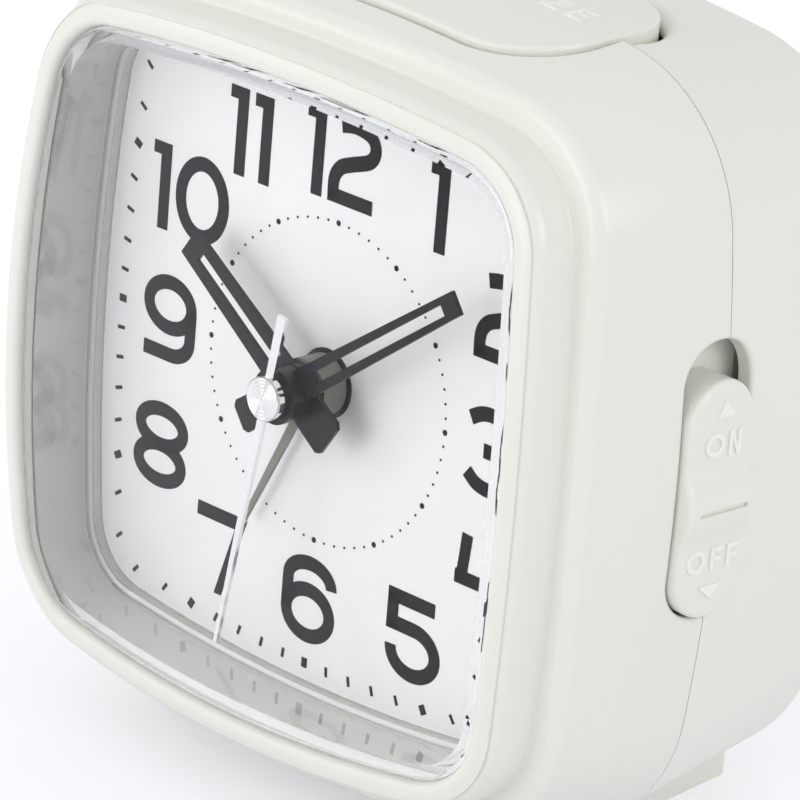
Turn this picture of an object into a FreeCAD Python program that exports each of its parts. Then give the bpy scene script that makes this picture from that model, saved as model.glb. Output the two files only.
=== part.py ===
import FreeCAD, Part
import os
from math import pi, sin, cos, tan, radians, degrees, sqrt, atan2

# Square quartz alarm clock with rounded corners, in millimetres.
# It is modelled upright in the case frame: X to the right seen from the front, Y from the dial
# towards the back, Z up, and the origin at the centre of the dial's face. At the end every piece
# is leaned back and set down on its feet: +Z up, the floor at z = 0, the front towards -Y.

V = FreeCAD.Vector

# ---- driving dimensions -------------------------------------------------------------------

# case outline at the seam between the two housings
CASE_HALF_WIDTH = 45.6
CASE_HALF_HEIGHT = 44.9
SIDE_BOW = 212.0            # radius of the four slightly bowed sides
CASE_CORNER = 18.6          # radius of the four corners
SEAM_Y = 12.4               # seam plane, behind the dial's face
SEAM_GAP = 0.12
WALL = 2.0
LEAN = 5.8                  # the clock leans back by this many degrees
FLOOR_DROP = CASE_HALF_HEIGHT + 1.7     # from the dial's centre down to the floor, along the dial

# front housing: insets are measured inwards from the seam outline
FLANK_END_INSET = 2.6       # the flared side, curved as far as this
FLANK_END_Y = -4.4
FLANK_MID_INSET = 0.9
FLANK_TIP_INSET = 4.0       # and straight from there to beyond the shoulder
FLANK_TIP_Y = -10.0
FRONT_DOME = 260.0          # the lip, the shoulder and the pane lie on domes of this radius
LIP_CREST_Y = -14.78        # where each dome would cross the dial's axis
SHOULDER_CREST_Y = -9.25
SHOULDER_ROUND = 1.8
LIP_INSET = 5.65            # outer wall of the raised lip
LIP_COVE = 0.5
LIP_ROUND = 2.3
LIP_INNER_ROUND = 0.8       # the lip rolls over into the window
CREASE_INSET = 6.45         # fine crease round the lip, on its rounding
CREASE_WIDTH = 0.30
CREASE_CREST_Y = -14.24     # dome that its floor lies on
WINDOW_INSET = 8.9          # inner wall of the window sleeve
SLEEVE_WALL = 2.14
SLEEVE_RIM = 0.9            # sleeve wall left beside the lens flange groove
CAVITY_Y = -2.0             # front end of the hollow between sleeve and side wall

# lens
LENS_CLEARANCE = 0.15
LENS_WALL = 1.1
PANE = 1.0
PANE_CREST_Y = -13.9
LENS_EDGE_ROUND = 0.6
LENS_TAPER = 1.1            # the wall grows thicker towards the pane, by this at its crest
LENS_BEAD = 0.6             # thicker rear edge of the wall
LENS_BEAD_LENGTH = 1.45
LENS_FLANGE = 1.09
LENS_FLANGE_LENGTH = 1.2
LENS_DIAL_GAP = 0.15

# rear housing
BACK_Y = 38.7
REAR_DRAFT = 0.10
REAR_CORNER_GROWTH = 3.6    # the corners grow rounder towards the back
REAR_ROUND = 5.0

# dial and the plate behind it
DIAL_THICKNESS = 0.5
DIAL_INSET = 7.1
DIAL_HOLE = 3.9
CARRIER_THICKNESS = 1.8
NECK_CLEARANCE = 0.15

# nested arbors: radii
SECOND_ARBOR = 0.45
MINUTE_TUBE_WALL = 0.60
HOUR_TUBE_WALL = 0.60
ALARM_TUBE_WALL = 0.65
NECK_WALL = 1.25
RUNNING = 0.05              # radial running clearance
SEAT = 0.01                 # hub on its own tube

# hands: front faces above the dial, and plan sizes
ALARM_BLADE_Y = -2.0
HOUR_BLADE_Y = -4.85
MINUTE_BLADE_Y = -6.1
NEEDLE_Y = -9.0
BLADE = 0.45
HOUR_LENGTH = 21.15
HOUR_TAIL = 7.0
HOUR_TIP_HALF = 1.85
HOUR_TAIL_HALF = 2.55
MINUTE_LENGTH = 29.4
MINUTE_TAIL = 8.2
MINUTE_TIP_HALF = 1.34
MINUTE_TAIL_HALF = 1.9
SLOT_HALF = 0.62
SLOT_END = 2.3              # solid length left at each hand's tip
TAIL_CHAMFER = 0.55
SECOND_LENGTH = 29.8
SECOND_TAIL = 9.7
NEEDLE_TIP_HALF = 0.22
NEEDLE_TAIL_HALF = 0.62
NEEDLE_THICKNESS = 0.5
SECOND_CAP = 2.45
SECOND_CAP_FRONT_Y = -9.35
SECOND_CAP_BACK_Y = -8.4
ALARM_LENGTH = 20.5
ALARM_ROOT_HALF = 0.65
ALARM_TIP_HALF = 0.25
ALARM_HUB = 3.4
ALARM_HUB_FRONT_Y = -3.55
HOUR_HUB = 3.0
MINUTE_HUB = 3.1
MINUTE_HUB_FRONT_Y = -7.75

# hand directions at rest, in degrees clockwise from twelve
HOUR_ANGLE = 304.0
MINUTE_ANGLE = 54.0
SECOND_ANGLE = 189.4
ALARM_ANGLE = 206.5

# movement
MOVEMENT_HALF = 26.0
MOVEMENT_CORNER = 4.0
MOVEMENT_WALL = 1.2
MOVEMENT_SPLIT_Y = 9.0
MOVEMENT_BACK_Y = 18.0
PIVOT = 0.35
PIVOT_DEPTH = 0.7
ARBOR = 0.5

# gears: teeth and layers (y of the front face, thickness)
ADDENDUM = 0.7              # in modules
DEDENDUM = 1.05
PRESSURE_ANGLE = 25.0
BACKLASH = 0.05
WHEEL = 0.7
MOTION_MODULE = 0.5
CANNON_TEETH = 12
MOTION_TEETH = 36
MOTION_PINION_TEETH = 10
HOUR_TEETH = 40
SET_TEETH = 12
ALARM_MODULE = 0.5
ALARM_TEETH = 32
ALARM_PINION_TEETH = 28
TRAIN_MODULE = 0.31
SECOND_PINION_TEETH = 10
THIRD_TEETH = 60
THIRD_PINION_TEETH = 8
CENTRE_TEETH = 80
SECOND_TEETH = 60
INTERMEDIATE_PINION_TEETH = 10
ROTOR_MODULE = 0.25
INTERMEDIATE_TEETH = 50
ROTOR_PINION_TEETH = 10
ALARM_LAYER = 3.9
HOUR_LAYER = 5.1
MOTION_LAYER = 6.7
CENTRE_LAYER = 8.4
THIRD_LAYER = 10.1
SECOND_LAYER = 11.6
PINION_OVERHANG = 0.15      # a pinion is longer than its wheel's rim by this at each side

# motor
MAGNET_RADIUS = 2.6
MAGNET_LENGTH = 1.6
STATOR_THICKNESS = 0.8
STATOR_Y = 12.9
STATOR_BORE = 3.0
COIL_RADIUS = 2.6
COIL_LENGTH = 18.0
COIL_RISE = 6.2             # from the rotor up to the coil's core
CORE_HALF = 0.9

# circuit board
BOARD_THICKNESS = 0.8
BOARD_MARGIN = 2.5          # from the movement's outer side to the board
BOARD_START_X = -2.0
BOARD_TOP_Z = -9.5
CRYSTAL_RADIUS = 1.0
CRYSTAL_LENGTH = 6.0
CRYSTAL_X = 12.0
CRYSTAL_Z = -12.0
CHIP_X = 6.0
CHIP_Z = -17.5
CHIP_BALL = 4.6             # the resin drop is a cap of this ball
CHIP_HEIGHT = 1.3

# setting knobs
KNOB_RADIUS = 7.0
KNOB_LENGTH = 5.6
KNOB_RIBS = 24
KNOB_RIB_RADIUS = 0.45
KNOB_SHAFT = 1.5
KNOB_RECESS_DEPTH = 6.2
KNOB_RECESS_CLEARANCE = 2.0
RECESS_WALL = 1.5

# battery, its compartment and door
CELL_RADIUS = 7.25
CELL_LENGTH = 50.5
CELL_NUB_RADIUS = 2.7
CELL_NUB = 1.0
CELL_Z = -21.0
CELL_Y = 28.2
BAY_CLEARANCE = 1.35
CONTACT_SPACE = 2.2         # between each end of the cell and the bay's wall
CONTACT_STRIP = 0.4
CONTACT_HALF_Y = 5.0
CONTACT_HALF_Z = 5.5
BAY_WALL = 1.5
DOOR_LEDGE = 1.2
DOOR_THICKNESS = 1.8
DOOR_CLEARANCE = 0.2
DOOR_CORNER = 2.0

# buzzer
BUZZER_BOTTOM_Z = 15.5      # just above the well of the setting knobs
BUZZER_RADIUS = (CASE_HALF_HEIGHT - BUZZER_BOTTOM_Z - 9.4) / 2
BUZZER_LENGTH = 6.0
BUZZER_X = -20.0
BUZZER_Z = BUZZER_BOTTOM_Z + BUZZER_RADIUS
SOUND_HOLE = 0.9
SOUND_RING = 4.6

# snooze bar
SNOOZE_HALF_WIDTH = 25.7
SNOOZE_FRONT_Y = -0.6
SNOOZE_BACK_Y = 26.0
SNOOZE_FRONT_CORNER = 10.0
SNOOZE_REAR_CORNER = 12.0
SNOOZE_PROUD = 0.35         # above the case at the seam
SNOOZE_FRONT_FALL = 1.5     # from there down to the bar's front edge
SNOOZE_REAR_FALL = 1.2      # and down to its rear edge
SNOOZE_ROUND = 0.45
SNOOZE_WALL = 1.8
SNOOZE_SKIRT = 5.0          # lower edge of the skirt, measured as an inset
SNOOZE_CLEARANCE = 0.5
SNOOZE_TRAVEL = 1.5
SNOOZE_OPENING = 6.6        # the opening in the case stops at this inset
FRONT_MOUTH_ROUND = 0.3     # edge of that opening in the front housing
REAR_MOUTH_ROUND = 1.5      # and in the rear one, where it makes room for a fingertip
SNOOZE_POST_X = 9.5         # post that works the contact
SNOOZE_POST = 1.2
SNOOZE_POST_LENGTH = 1.6
SHELF_Z = CASE_HALF_HEIGHT - 10.4
SHELF_THICKNESS = 1.5
SHELF_START_X = -9.0
SHELF_END_X = 14.0
SHELF_OVERHANG = 5.0        # behind the seam
SHELF_RIB = 1.2
RIB_CLEARANCE = 2.5         # from the movement up to the shelf's ribs
PUSH_SWITCH_HALF = 3.0
PUSH_SWITCH_HEIGHT = 3.6
PLUNGER = 1.6
SPRING_RADIUS = 2.4
SPRING_WIRE = 0.3
SPRING_PITCH = 1.3

# alarm switch on the right side
SWITCH_Y = 11.6
SWITCH_SLOT_HALF = 5.0
SWITCH_SLOT_BOTTOM = -14.5
SWITCH_SLOT_TOP = 16.2
SWITCH_CLEARANCE = 0.15
SWITCH_SLOT_ROUND = 0.5
SWITCH_ROUND = 0.6
SWITCH_TOP = 12.1
SWITCH_TRAVEL = 3.8
SWITCH_FACE_X = CASE_HALF_WIDTH + 0.3
SWITCH_RIDGE = 1.25
SWITCH_RIDGE_Z = -1.8
SWITCH_RIDGE_SPAN = 5.0
SWITCH_FLANGE_X = CASE_HALF_WIDTH - 5.5
SWITCH_FLANGE = 1.1
SWITCH_FLANGE_OVERLAP = 1.0
BRACKET_WALL = 1.0
BRACKET_GAP = 0.3
BRACKET_MARGIN = 0.5
LUG_LOW_Z = -9.0
LUG_HIGH_Z = 7.0
LUG_HEIGHT = 4.0
LUG_START = 3.2             # lugs reach this far in from the channel's floor
LUG_END = 0.4
SWITCH_STRIP = 0.3
SWITCH_STRIP_HALF = 2.0
SWITCH_STRIP_LOW_Z = -8.0
SWITCH_STRIP_HIGH_Z = 12.0
SWITCH_TAB = 3.0
SWITCH_TAB_HALF = 1.2

# feet
FOOT_INNER_X = 24.2
FOOT_OUTER_X = 31.0
FRONT_FOOT_START_Y = 5.0
FRONT_FOOT_END_Y = 11.6
REAR_FOOT_START_Y = 14.4
REAR_FOOT_END_Y = 35.6
FOOT_SEAT = 0.05
FOOT_ROUND = 1.2

# screws
CASE_SCREW_INSET = 8.5
CASE_SCREW_SHANK = 1.0
CASE_SCREW_HEAD = 2.0
CASE_SCREW_LENGTH = 11.0
CASE_BOSS = 3.2
CASE_BOSS_START_Y = 3.2
CASE_SCREW_SEAT = 3.0       # thickness under the head, behind the seam
CARRIER_SCREW_TURN = 14.0     # degrees from the corner arc's upright end
CARRIER_SCREW_INSET = 6.6
CARRIER_SCREW_SHANK = 0.8
CARRIER_SCREW_HEAD = 1.6
CARRIER_SCREW_LENGTH = 4.1
CARRIER_BOSS = 2.0
SCREW_FIT = 0.02

# ---- derived places -----------------------------------------------------------------------

CARRIER_BACK_Y = DIAL_THICKNESS + CARRIER_THICKNESS
GROOVE_Y = -LENS_DIAL_GAP - LENS_FLANGE_LENGTH - 0.2
MOVEMENT_INNER_Y = CARRIER_BACK_Y + MOVEMENT_WALL
MOVEMENT_END_Y = MOVEMENT_BACK_Y - MOVEMENT_WALL
MINUTE_BORE = SECOND_ARBOR + RUNNING
MINUTE_TUBE = MINUTE_BORE + MINUTE_TUBE_WALL
HOUR_BORE = MINUTE_TUBE + RUNNING
HOUR_TUBE = HOUR_BORE + HOUR_TUBE_WALL
ALARM_BORE = HOUR_TUBE + RUNNING
ALARM_TUBE = ALARM_BORE + ALARM_TUBE_WALL
NECK_BORE = ALARM_TUBE + RUNNING
NECK = NECK_BORE + NECK_WALL

MOTION_DISTANCE = MOTION_MODULE * (CANNON_TEETH + MOTION_TEETH) / 2
HOUR_MODULE = 2 * MOTION_DISTANCE / (MOTION_PINION_TEETH + HOUR_TEETH)
SET_DISTANCE = MOTION_MODULE * (MOTION_TEETH + SET_TEETH) / 2
ALARM_DISTANCE = ALARM_MODULE * (ALARM_TEETH + ALARM_PINION_TEETH) / 2
TRAIN_DISTANCE = TRAIN_MODULE * (SECOND_PINION_TEETH + THIRD_TEETH) / 2
CENTRE_MODULE = 2 * TRAIN_DISTANCE / (THIRD_PINION_TEETH + CENTRE_TEETH)
INTERMEDIATE_DISTANCE = TRAIN_MODULE * (SECOND_TEETH + INTERMEDIATE_PINION_TEETH) / 2
ROTOR_DISTANCE = ROTOR_MODULE * (INTERMEDIATE_TEETH + ROTOR_PINION_TEETH) / 2


def polar(start, distance, angle):
    """A point (x, z) at a distance and an angle, in degrees from +X towards +Z."""
    return (start[0] + distance * cos(radians(angle)), start[1] + distance * sin(radians(angle)))


DIAL_AXIS = (0.0, 0.0)
MOTION_AXIS = polar(DIAL_AXIS, MOTION_DISTANCE, -30)
TIME_SET_AXIS = polar(MOTION_AXIS, SET_DISTANCE, 72)
ALARM_SET_AXIS = polar(DIAL_AXIS, ALARM_DISTANCE, 158.9)
THIRD_AXIS = polar(DIAL_AXIS, TRAIN_DISTANCE, 250)
INTERMEDIATE_AXIS = polar(DIAL_AXIS, INTERMEDIATE_DISTANCE, 110)
ROTOR_AXIS = polar(INTERMEDIATE_AXIS, ROTOR_DISTANCE, 45)


# ---- the bowed outline and shapes made from it ----------------------------------------------

def outline_arcs(inset, corner_growth=0.0):
    """Eight tangent arcs of the outline at an inset, as (x, z, radius, start, end) in radians."""
    bow = SIDE_BOW - inset
    corner = CASE_CORNER - inset + corner_growth
    side_x = CASE_HALF_WIDTH - inset - bow
    top_z = CASE_HALF_HEIGHT - inset - bow
    reach = bow - corner
    slope = side_x / top_z
    offset = (top_z ** 2 - side_x ** 2) / (2 * top_z)
    a = 1 + slope ** 2
    b = 2 * (slope * offset - side_x)
    c = side_x ** 2 + offset ** 2 - reach ** 2
    corner_x = (-b + sqrt(b * b - 4 * a * c)) / (2 * a)
    corner_z = slope * corner_x + offset
    side = atan2(corner_z, corner_x - side_x)
    top = atan2(corner_z - top_z, corner_x)
    return [(side_x, 0.0, bow, -side, side),
            (corner_x, corner_z, corner, side, top),
            (0.0, top_z, bow, top, pi - top),
            (-corner_x, corner_z, corner, pi - top, pi - side),
            (-side_x, 0.0, bow, pi - side, pi + side),
            (-corner_x, -corner_z, corner, pi + side, pi + top),
            (0.0, -top_z, bow, pi + top, 2 * pi - top),
            (corner_x, -corner_z, corner, 2 * pi - top, 2 * pi - side)]


def arc_point(arc, angle, y, inset=0.0):
    x, z, radius = arc[:3]
    return V(x + (radius - inset) * cos(angle), y, z + (radius - inset) * sin(angle))


def outline_wire(inset, y, corner_growth=0.0):
    edges = []
    for arc in outline_arcs(inset, corner_growth):
        start, end = arc[3], arc[4]
        points = [arc_point(arc, angle, y) for angle in (start, (start + end) / 2, end)]
        edges.append(Part.Arc(*points).toShape())
    return Part.Wire(edges)


def outline_slab(inset, y0, y1, corner_growth=0.0):
    """A slab with the bowed outline, from y0 to y1."""
    return Part.Face(outline_wire(inset, y0, corner_growth)).extrude(V(0, y1 - y0, 0))


def profile_face(profile, arc):
    """A closed section of (inset, y) corners; a corner with four numbers ends an arc through
    its first two."""
    def place(inset, y):
        return arc_point(arc, arc[3], y, inset)
    edges = []
    previous = place(*profile[-1][-2:])
    for corner in profile:
        point = place(*corner[-2:])
        if len(corner) == 4:
            edges.append(Part.Arc(previous, place(*corner[:2]), point).toShape())
        else:
            edges.append(Part.LineSegment(previous, point).toShape())
        previous = point
    return Part.Face(Part.Wire(edges))


def swept_ring(profile):
    """The section carried round the whole outline: one turned piece for each of its arcs."""
    pieces = []
    for arc in outline_arcs(0.0):
        face = profile_face(profile, arc)
        turn = degrees(arc[4] - arc[3])
        pieces.append(face.revolve(V(arc[0], 0, arc[1]), V(0, -1, 0), turn))
    return pieces[0].multiFuse(pieces[1:]).removeSplitter()


def side_height(x, inset):
    """Height of the outline's top side at x, at an inset."""
    radius = SIDE_BOW - inset
    centre = CASE_HALF_HEIGHT - SIDE_BOW
    return centre + sqrt(radius ** 2 - x ** 2)


# ---- plain shapes ---------------------------------------------------------------------------

def rod(radius, y0, y1, axis=DIAL_AXIS):
    return Part.makeCylinder(radius, y1 - y0, V(axis[0], y0, axis[1]), V(0, 1, 0))


def tube(outer, inner, y0, y1, axis=DIAL_AXIS):
    return rod(outer, y0, y1, axis).cut(rod(inner, y0, y1, axis))


def block(x0, x1, y0, y1, z0, z1):
    return Part.makeBox(x1 - x0, y1 - y0, z1 - z0, V(x0, y0, z0))


def rounded_block(x0, x1, y0, y1, z0, z1, radius):
    """A block whose four edges along Y are rounded."""
    box = block(x0, x1, y0, y1, z0, z1)
    edges = [edge for edge in box.Edges if abs(edge.tangentAt(edge.FirstParameter).y) > 0.9]
    return box.makeFillet(radius, edges)


def plate_from(points, y0, thickness):
    """A flat plate with straight edges between (x, z) points."""
    corners = [V(x, y0, z) for x, z in points]
    return Part.Face(Part.makePolygon(corners + corners[:1])).extrude(V(0, thickness, 0))


def fused(shapes):
    return shapes[0].multiFuse(shapes[1:]).removeSplitter()


def clockwise(shape, angle):
    """Turn a piece drawn at twelve o'clock to its hour, seen from the front."""
    turned = shape.copy()
    turned.rotate(V(0, 0, 0), V(0, 1, 0), angle)
    return turned


def mirrored(shape):
    """The same piece on the other side of the clock's middle plane."""
    return shape.mirror(V(0, 0, 0), V(1, 0, 0))


def coil_spring(radius, wire, pitch, length):
    """A round-wire helix standing on the origin along +Z, between its end turns."""
    helix = Part.makeHelix(pitch, length - 2 * wire, radius)
    helix.translate(V(0, 0, wire))
    start = V(radius, 0, wire)
    section = Part.Wire(Part.makeCircle(wire, start, V(0, 1, pitch / (2 * pi * radius))))
    return Part.Wire(helix.Edges).makePipeShell([section], True, True)


# ---- gears ------------------------------------------------------------------------------------

def involute_angle(radius, base):
    """How far the tooth's flank has turned at a radius, in radians."""
    if radius <= base:
        return 0.0
    return sqrt((radius / base) ** 2 - 1) - atan2(sqrt(radius ** 2 - base ** 2), base)


def gear(teeth, module, y0, thickness, axis, phase):
    """A spur wheel with a tooth's middle at the phase angle, in radians from +X towards +Z."""
    pitch_radius = teeth * module / 2
    base = pitch_radius * cos(radians(PRESSURE_ANGLE))
    tip = pitch_radius + ADDENDUM * module
    root = pitch_radius - DEDENDUM * module
    half_pitch = pi / (2 * teeth) - BACKLASH / (2 * pitch_radius)
    middle = (max(base, root) + tip) / 2
    points = []
    for tooth in range(teeth):
        centre = phase + 2 * pi * tooth / teeth
        flank = []
        for radius in (root, max(base, root + 0.01), middle, tip):
            half = half_pitch + involute_angle(pitch_radius, base) - involute_angle(radius, base)
            flank.append((radius, half))
        rising = [(radius, centre - half) for radius, half in flank]
        falling = [(radius, centre + half) for radius, half in reversed(flank)]
        for radius, angle in rising + falling:
            points.append((axis[0] + radius * cos(angle), axis[1] + radius * sin(angle)))
    return plate_from(points, y0, thickness)


def meshing_phase(teeth, phase, axis, other_teeth, other_axis):
    """Phase of a second wheel whose gap meets the first wheel's tooth."""
    line = atan2(other_axis[1] - axis[1], other_axis[0] - axis[0])
    lag = (line - phase) % (2 * pi / teeth)
    return line + pi + pi / other_teeth + lag * teeth / other_teeth


# ---- finding edges --------------------------------------------------------------------------

def middle_of(edge):
    return edge.valueAt((edge.FirstParameter + edge.LastParameter) / 2)


def off_middle_line(point, y, half_width, z0, z1):
    """Distance from the middle line of a stadium that stands along Z."""
    beyond = max(z0 + half_width - point.z, 0.0, point.z - z1 + half_width)
    return sqrt((point.y - y) ** 2 + beyond ** 2)


def slot_mouth(housing):
    """Edges where the slider's slot comes through the outer skin."""
    chosen = []
    for edge in housing.Edges:
        middle = middle_of(edge)
        distance = off_middle_line(middle, SWITCH_Y, SWITCH_SLOT_HALF, SWITCH_SLOT_BOTTOM, SWITCH_SLOT_TOP)
        depth = max(vertex.Point.x for vertex in edge.Vertexes) - min(vertex.Point.x for vertex in edge.Vertexes)
        if (abs(distance - SWITCH_SLOT_HALF) < 0.02 and depth < WALL / 2
                and middle.x > CASE_HALF_WIDTH - WALL + 0.2):
            chosen.append(edge)
    return chosen


def bar_mouth(housing):
    """Edges where the snooze bar's opening comes through the outer skin."""
    plan = snooze_prism(SNOOZE_CLEARANCE)
    chosen = []
    for edge in housing.Edges:
        middle = middle_of(edge)
        from_seam = abs(middle.y - SEAM_Y)
        if (abs(middle.x) < SNOOZE_HALF_WIDTH + 1.0 and from_seam > 0.1
                and middle.z > side_height(middle.x, WALL / 2 + REAR_DRAFT * from_seam)
                and plan.isInside(middle, 0.01, True)):
            chosen.append(edge)
    return chosen


# ---- case -----------------------------------------------------------------------------------

def flank_profile(grow=0.0):
    """Outer side of the front housing, from the seam to beyond the shoulder."""
    return [(0.0 - grow, SEAM_Y - SEAM_GAP / 2),
            (FLANK_MID_INSET - grow, (SEAM_Y + FLANK_END_Y) / 2, FLANK_END_INSET - grow, FLANK_END_Y),
            (FLANK_TIP_INSET - grow, FLANK_TIP_Y)]


def dome(crest_y, radius=FRONT_DOME):
    """The ball under one of the domed front faces."""
    return Part.makeSphere(radius, V(0, crest_y + radius, 0))


def front_edges(shape, crest_y, inset, outer):
    """The long edges where a dome meets the walls outside an inset, or the walls inside it."""
    centre = V(0, crest_y + FRONT_DOME, 0)
    inner = outline_slab(inset, crest_y - 1.0, SEAM_Y)
    chosen = []
    for edge in shape.Edges:
        middle = middle_of(edge)
        on_dome = abs((middle - centre).Length - FRONT_DOME) < 0.01
        long = min([vertex.Point.sub(middle).Length for vertex in edge.Vertexes], default=0) > 1.0
        if on_dome and long and inner.isInside(middle, 0.01, False) != outer:
            chosen.append(edge)
    return chosen


def domed(ring, crest_y, radius, inset):
    """Cut the front of a ring to a dome and round its outer edge."""
    cut = ring.common(dome(crest_y))
    return cut.makeFillet(radius, front_edges(cut, crest_y, inset, True))


def front_ring():
    """Side wall with its shoulder, and the window sleeve with its lip, both carried round the case."""
    sleeve_outer = WINDOW_INSET - SLEEVE_WALL
    groove = sleeve_outer + SLEEVE_RIM
    lip_tip_y = LIP_CREST_Y - 1.0
    side = swept_ring(flank_profile() + [
        (sleeve_outer, FLANK_TIP_Y),
        (sleeve_outer, CAVITY_Y),
        (FLANK_END_INSET + WALL, CAVITY_Y),
        (WALL, SEAM_Y - SEAM_GAP / 2)])
    lip = swept_ring([
        (LIP_INSET, CAVITY_Y), (LIP_INSET, lip_tip_y), (WINDOW_INSET, lip_tip_y), (WINDOW_INSET, GROOVE_Y),
        (groove, GROOVE_Y), (groove, 0.0), (sleeve_outer, 0.0), (sleeve_outer, CAVITY_Y)])
    side = domed(side, SHOULDER_CREST_Y, SHOULDER_ROUND, LIP_INSET - LIP_COVE)
    lip_middle = (LIP_INSET + WINDOW_INSET) / 2
    lip = domed(lip, LIP_CREST_Y, LIP_ROUND, lip_middle)
    lip = lip.makeFillet(LIP_INNER_ROUND, front_edges(lip, LIP_CREST_Y, lip_middle, False))
    shape = fused([side, lip])
    cove = [edge for edge in shape.Edges if is_cove_edge(edge)]
    shape = shape.makeFillet(LIP_COVE, cove)
    crease = outline_slab(CREASE_INSET - CREASE_WIDTH / 2, lip_tip_y, CAVITY_Y)
    crease = crease.cut(outline_slab(CREASE_INSET + CREASE_WIDTH / 2, lip_tip_y, CAVITY_Y))
    return shape.cut(crease.cut(dome(CREASE_CREST_Y)))


def is_cove_edge(edge):
    """True for an edge at the foot of the lip's outer wall."""
    middle = middle_of(edge)
    ball_distance = (middle - V(0, SHOULDER_CREST_Y + FRONT_DOME, 0)).Length
    inside = outline_slab(LIP_INSET + 0.02, FLANK_TIP_Y, SEAM_Y)
    outside = outline_slab(LIP_INSET - 0.02, FLANK_TIP_Y, SEAM_Y)
    return (abs(ball_distance - FRONT_DOME) < 0.01 and edge.Length > 1.0
            and outside.isInside(middle, 0.001, False) and not inside.isInside(middle, 0.001, False))


def case_screw_axes():
    """The four corner screws, as (x, z) and the corner's outward angle."""
    axes = []
    for arc in outline_arcs(0.0)[1::2]:
        angle = (arc[3] + arc[4]) / 2
        point = arc_point(arc, angle, 0.0, CASE_SCREW_INSET)
        axes.append(((point.x, point.z), angle))
    return axes


def carrier_screw_axes():
    """Four screws on the corner arcs, just beyond the ends of the snooze bar."""
    corner = outline_arcs(0.0)[1]
    point = arc_point(corner, corner[4] - radians(CARRIER_SCREW_TURN), 0.0, CARRIER_SCREW_INSET)
    return [(x, z) for x in (-point.x, point.x) for z in (-point.z, point.z)]


def snooze_prism(grow):
    """Plan of the snooze bar, as a tall block standing across the seam."""
    half_width = SNOOZE_HALF_WIDTH + grow
    front_y = SNOOZE_FRONT_Y - grow
    depth = SNOOZE_BACK_Y + grow - front_y
    low = side_height(0, SNOOZE_SKIRT + SNOOZE_TRAVEL) - 2.5
    box = Part.makeBox(2 * half_width, depth, 14.0, V(-half_width, front_y, low))
    upright = [edge for edge in box.Edges if abs(edge.tangentAt(edge.FirstParameter).z) > 0.9]
    front = [edge for edge in upright if edge.Vertexes[0].Point.y < front_y + 1.0]
    box = box.makeFillet(SNOOZE_FRONT_CORNER + grow, front)
    rear = [edge for edge in box.Edges if abs(edge.tangentAt(edge.FirstParameter).z) > 0.9
            and edge.Vertexes[0].Point.y > front_y + depth - 0.01]
    return box.makeFillet(SNOOZE_REAR_CORNER + grow, rear)


def stadium(x0, x1, y, half_width, z0, z1):
    """A slot shape along Z with round ends, from x0 to x1."""
    low, high = z0 + half_width, z1 - half_width
    length = x1 - x0
    return fused([Part.makeBox(length, 2 * half_width, high - low, V(x0, y - half_width, low)),
                  Part.makeCylinder(half_width, length, V(x0, y, low), V(1, 0, 0)),
                  Part.makeCylinder(half_width, length, V(x0, y, high), V(1, 0, 0))])


def snooze_opening():
    """The way through the case's top for the bar; it leaves the window sleeve whole."""
    kept = outline_slab(SNOOZE_OPENING, SNOOZE_FRONT_Y - 2.0, BACK_Y)
    return snooze_prism(SNOOZE_CLEARANCE).cut(kept)


def switch_slot():
    return stadium(SWITCH_FLANGE_X - 2.0, CASE_HALF_WIDTH + 2.0, SWITCH_Y, SWITCH_SLOT_HALF,
                   SWITCH_SLOT_BOTTOM, SWITCH_SLOT_TOP)


def front_housing():
    shape = front_ring()
    end = SEAM_Y - SEAM_GAP / 2
    additions = []
    for axis, angle in case_screw_axes():
        additions.append(rod(CASE_BOSS, CASE_BOSS_START_Y, end, axis))
        web_length = CASE_SCREW_INSET - WALL + 0.1
        web = Part.makeBox(web_length, end - CASE_BOSS_START_Y, 2.0, V(0, CASE_BOSS_START_Y, -1.0))
        web.rotate(V(0, 0, 0), V(0, -1, 0), degrees(angle))
        web.translate(V(axis[0], 0, axis[1]))
        additions.append(web)
    for axis in carrier_screw_axes():
        additions.append(rod(CARRIER_BOSS, CAVITY_Y - 0.2, DIAL_THICKNESS, axis))
    shape = fused([shape] + additions)
    shape = shape.cut(outline_slab(WINDOW_INSET - SLEEVE_WALL + SLEEVE_RIM, GROOVE_Y, 1.0))
    for axis, angle in case_screw_axes():
        shape = shape.cut(rod(CASE_SCREW_SHANK + SCREW_FIT, CASE_BOSS_START_Y + 1.0, end, axis))
    for axis in carrier_screw_axes():
        shape = shape.cut(rod(CARRIER_SCREW_SHANK + SCREW_FIT, CAVITY_Y - 0.2, DIAL_THICKNESS, axis))
    shape = shape.cut(snooze_opening()).cut(switch_slot())
    shape = shape.makeFillet(SWITCH_SLOT_ROUND, slot_mouth(shape))
    return shape.makeFillet(FRONT_MOUTH_ROUND, bar_mouth(shape))


def rear_shell(inset, y0, y1, radius):
    """The drafted rear form at an inset, with its back edge rounded."""
    back_inset = inset + REAR_DRAFT * (y1 - SEAM_Y)
    growth = REAR_CORNER_GROWTH * (y1 - SEAM_Y) / (BACK_Y - SEAM_Y)
    front = outline_wire(inset + REAR_DRAFT * (y0 - SEAM_Y), y0)
    back = outline_wire(back_inset, y1, growth)
    solid = Part.makeLoft([front, back], True, True)
    edges = [edge for edge in solid.Edges
             if all(abs(vertex.Point.y - y1) < 1e-6 for vertex in edge.Vertexes)]
    return solid.makeFillet(radius, edges)


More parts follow.
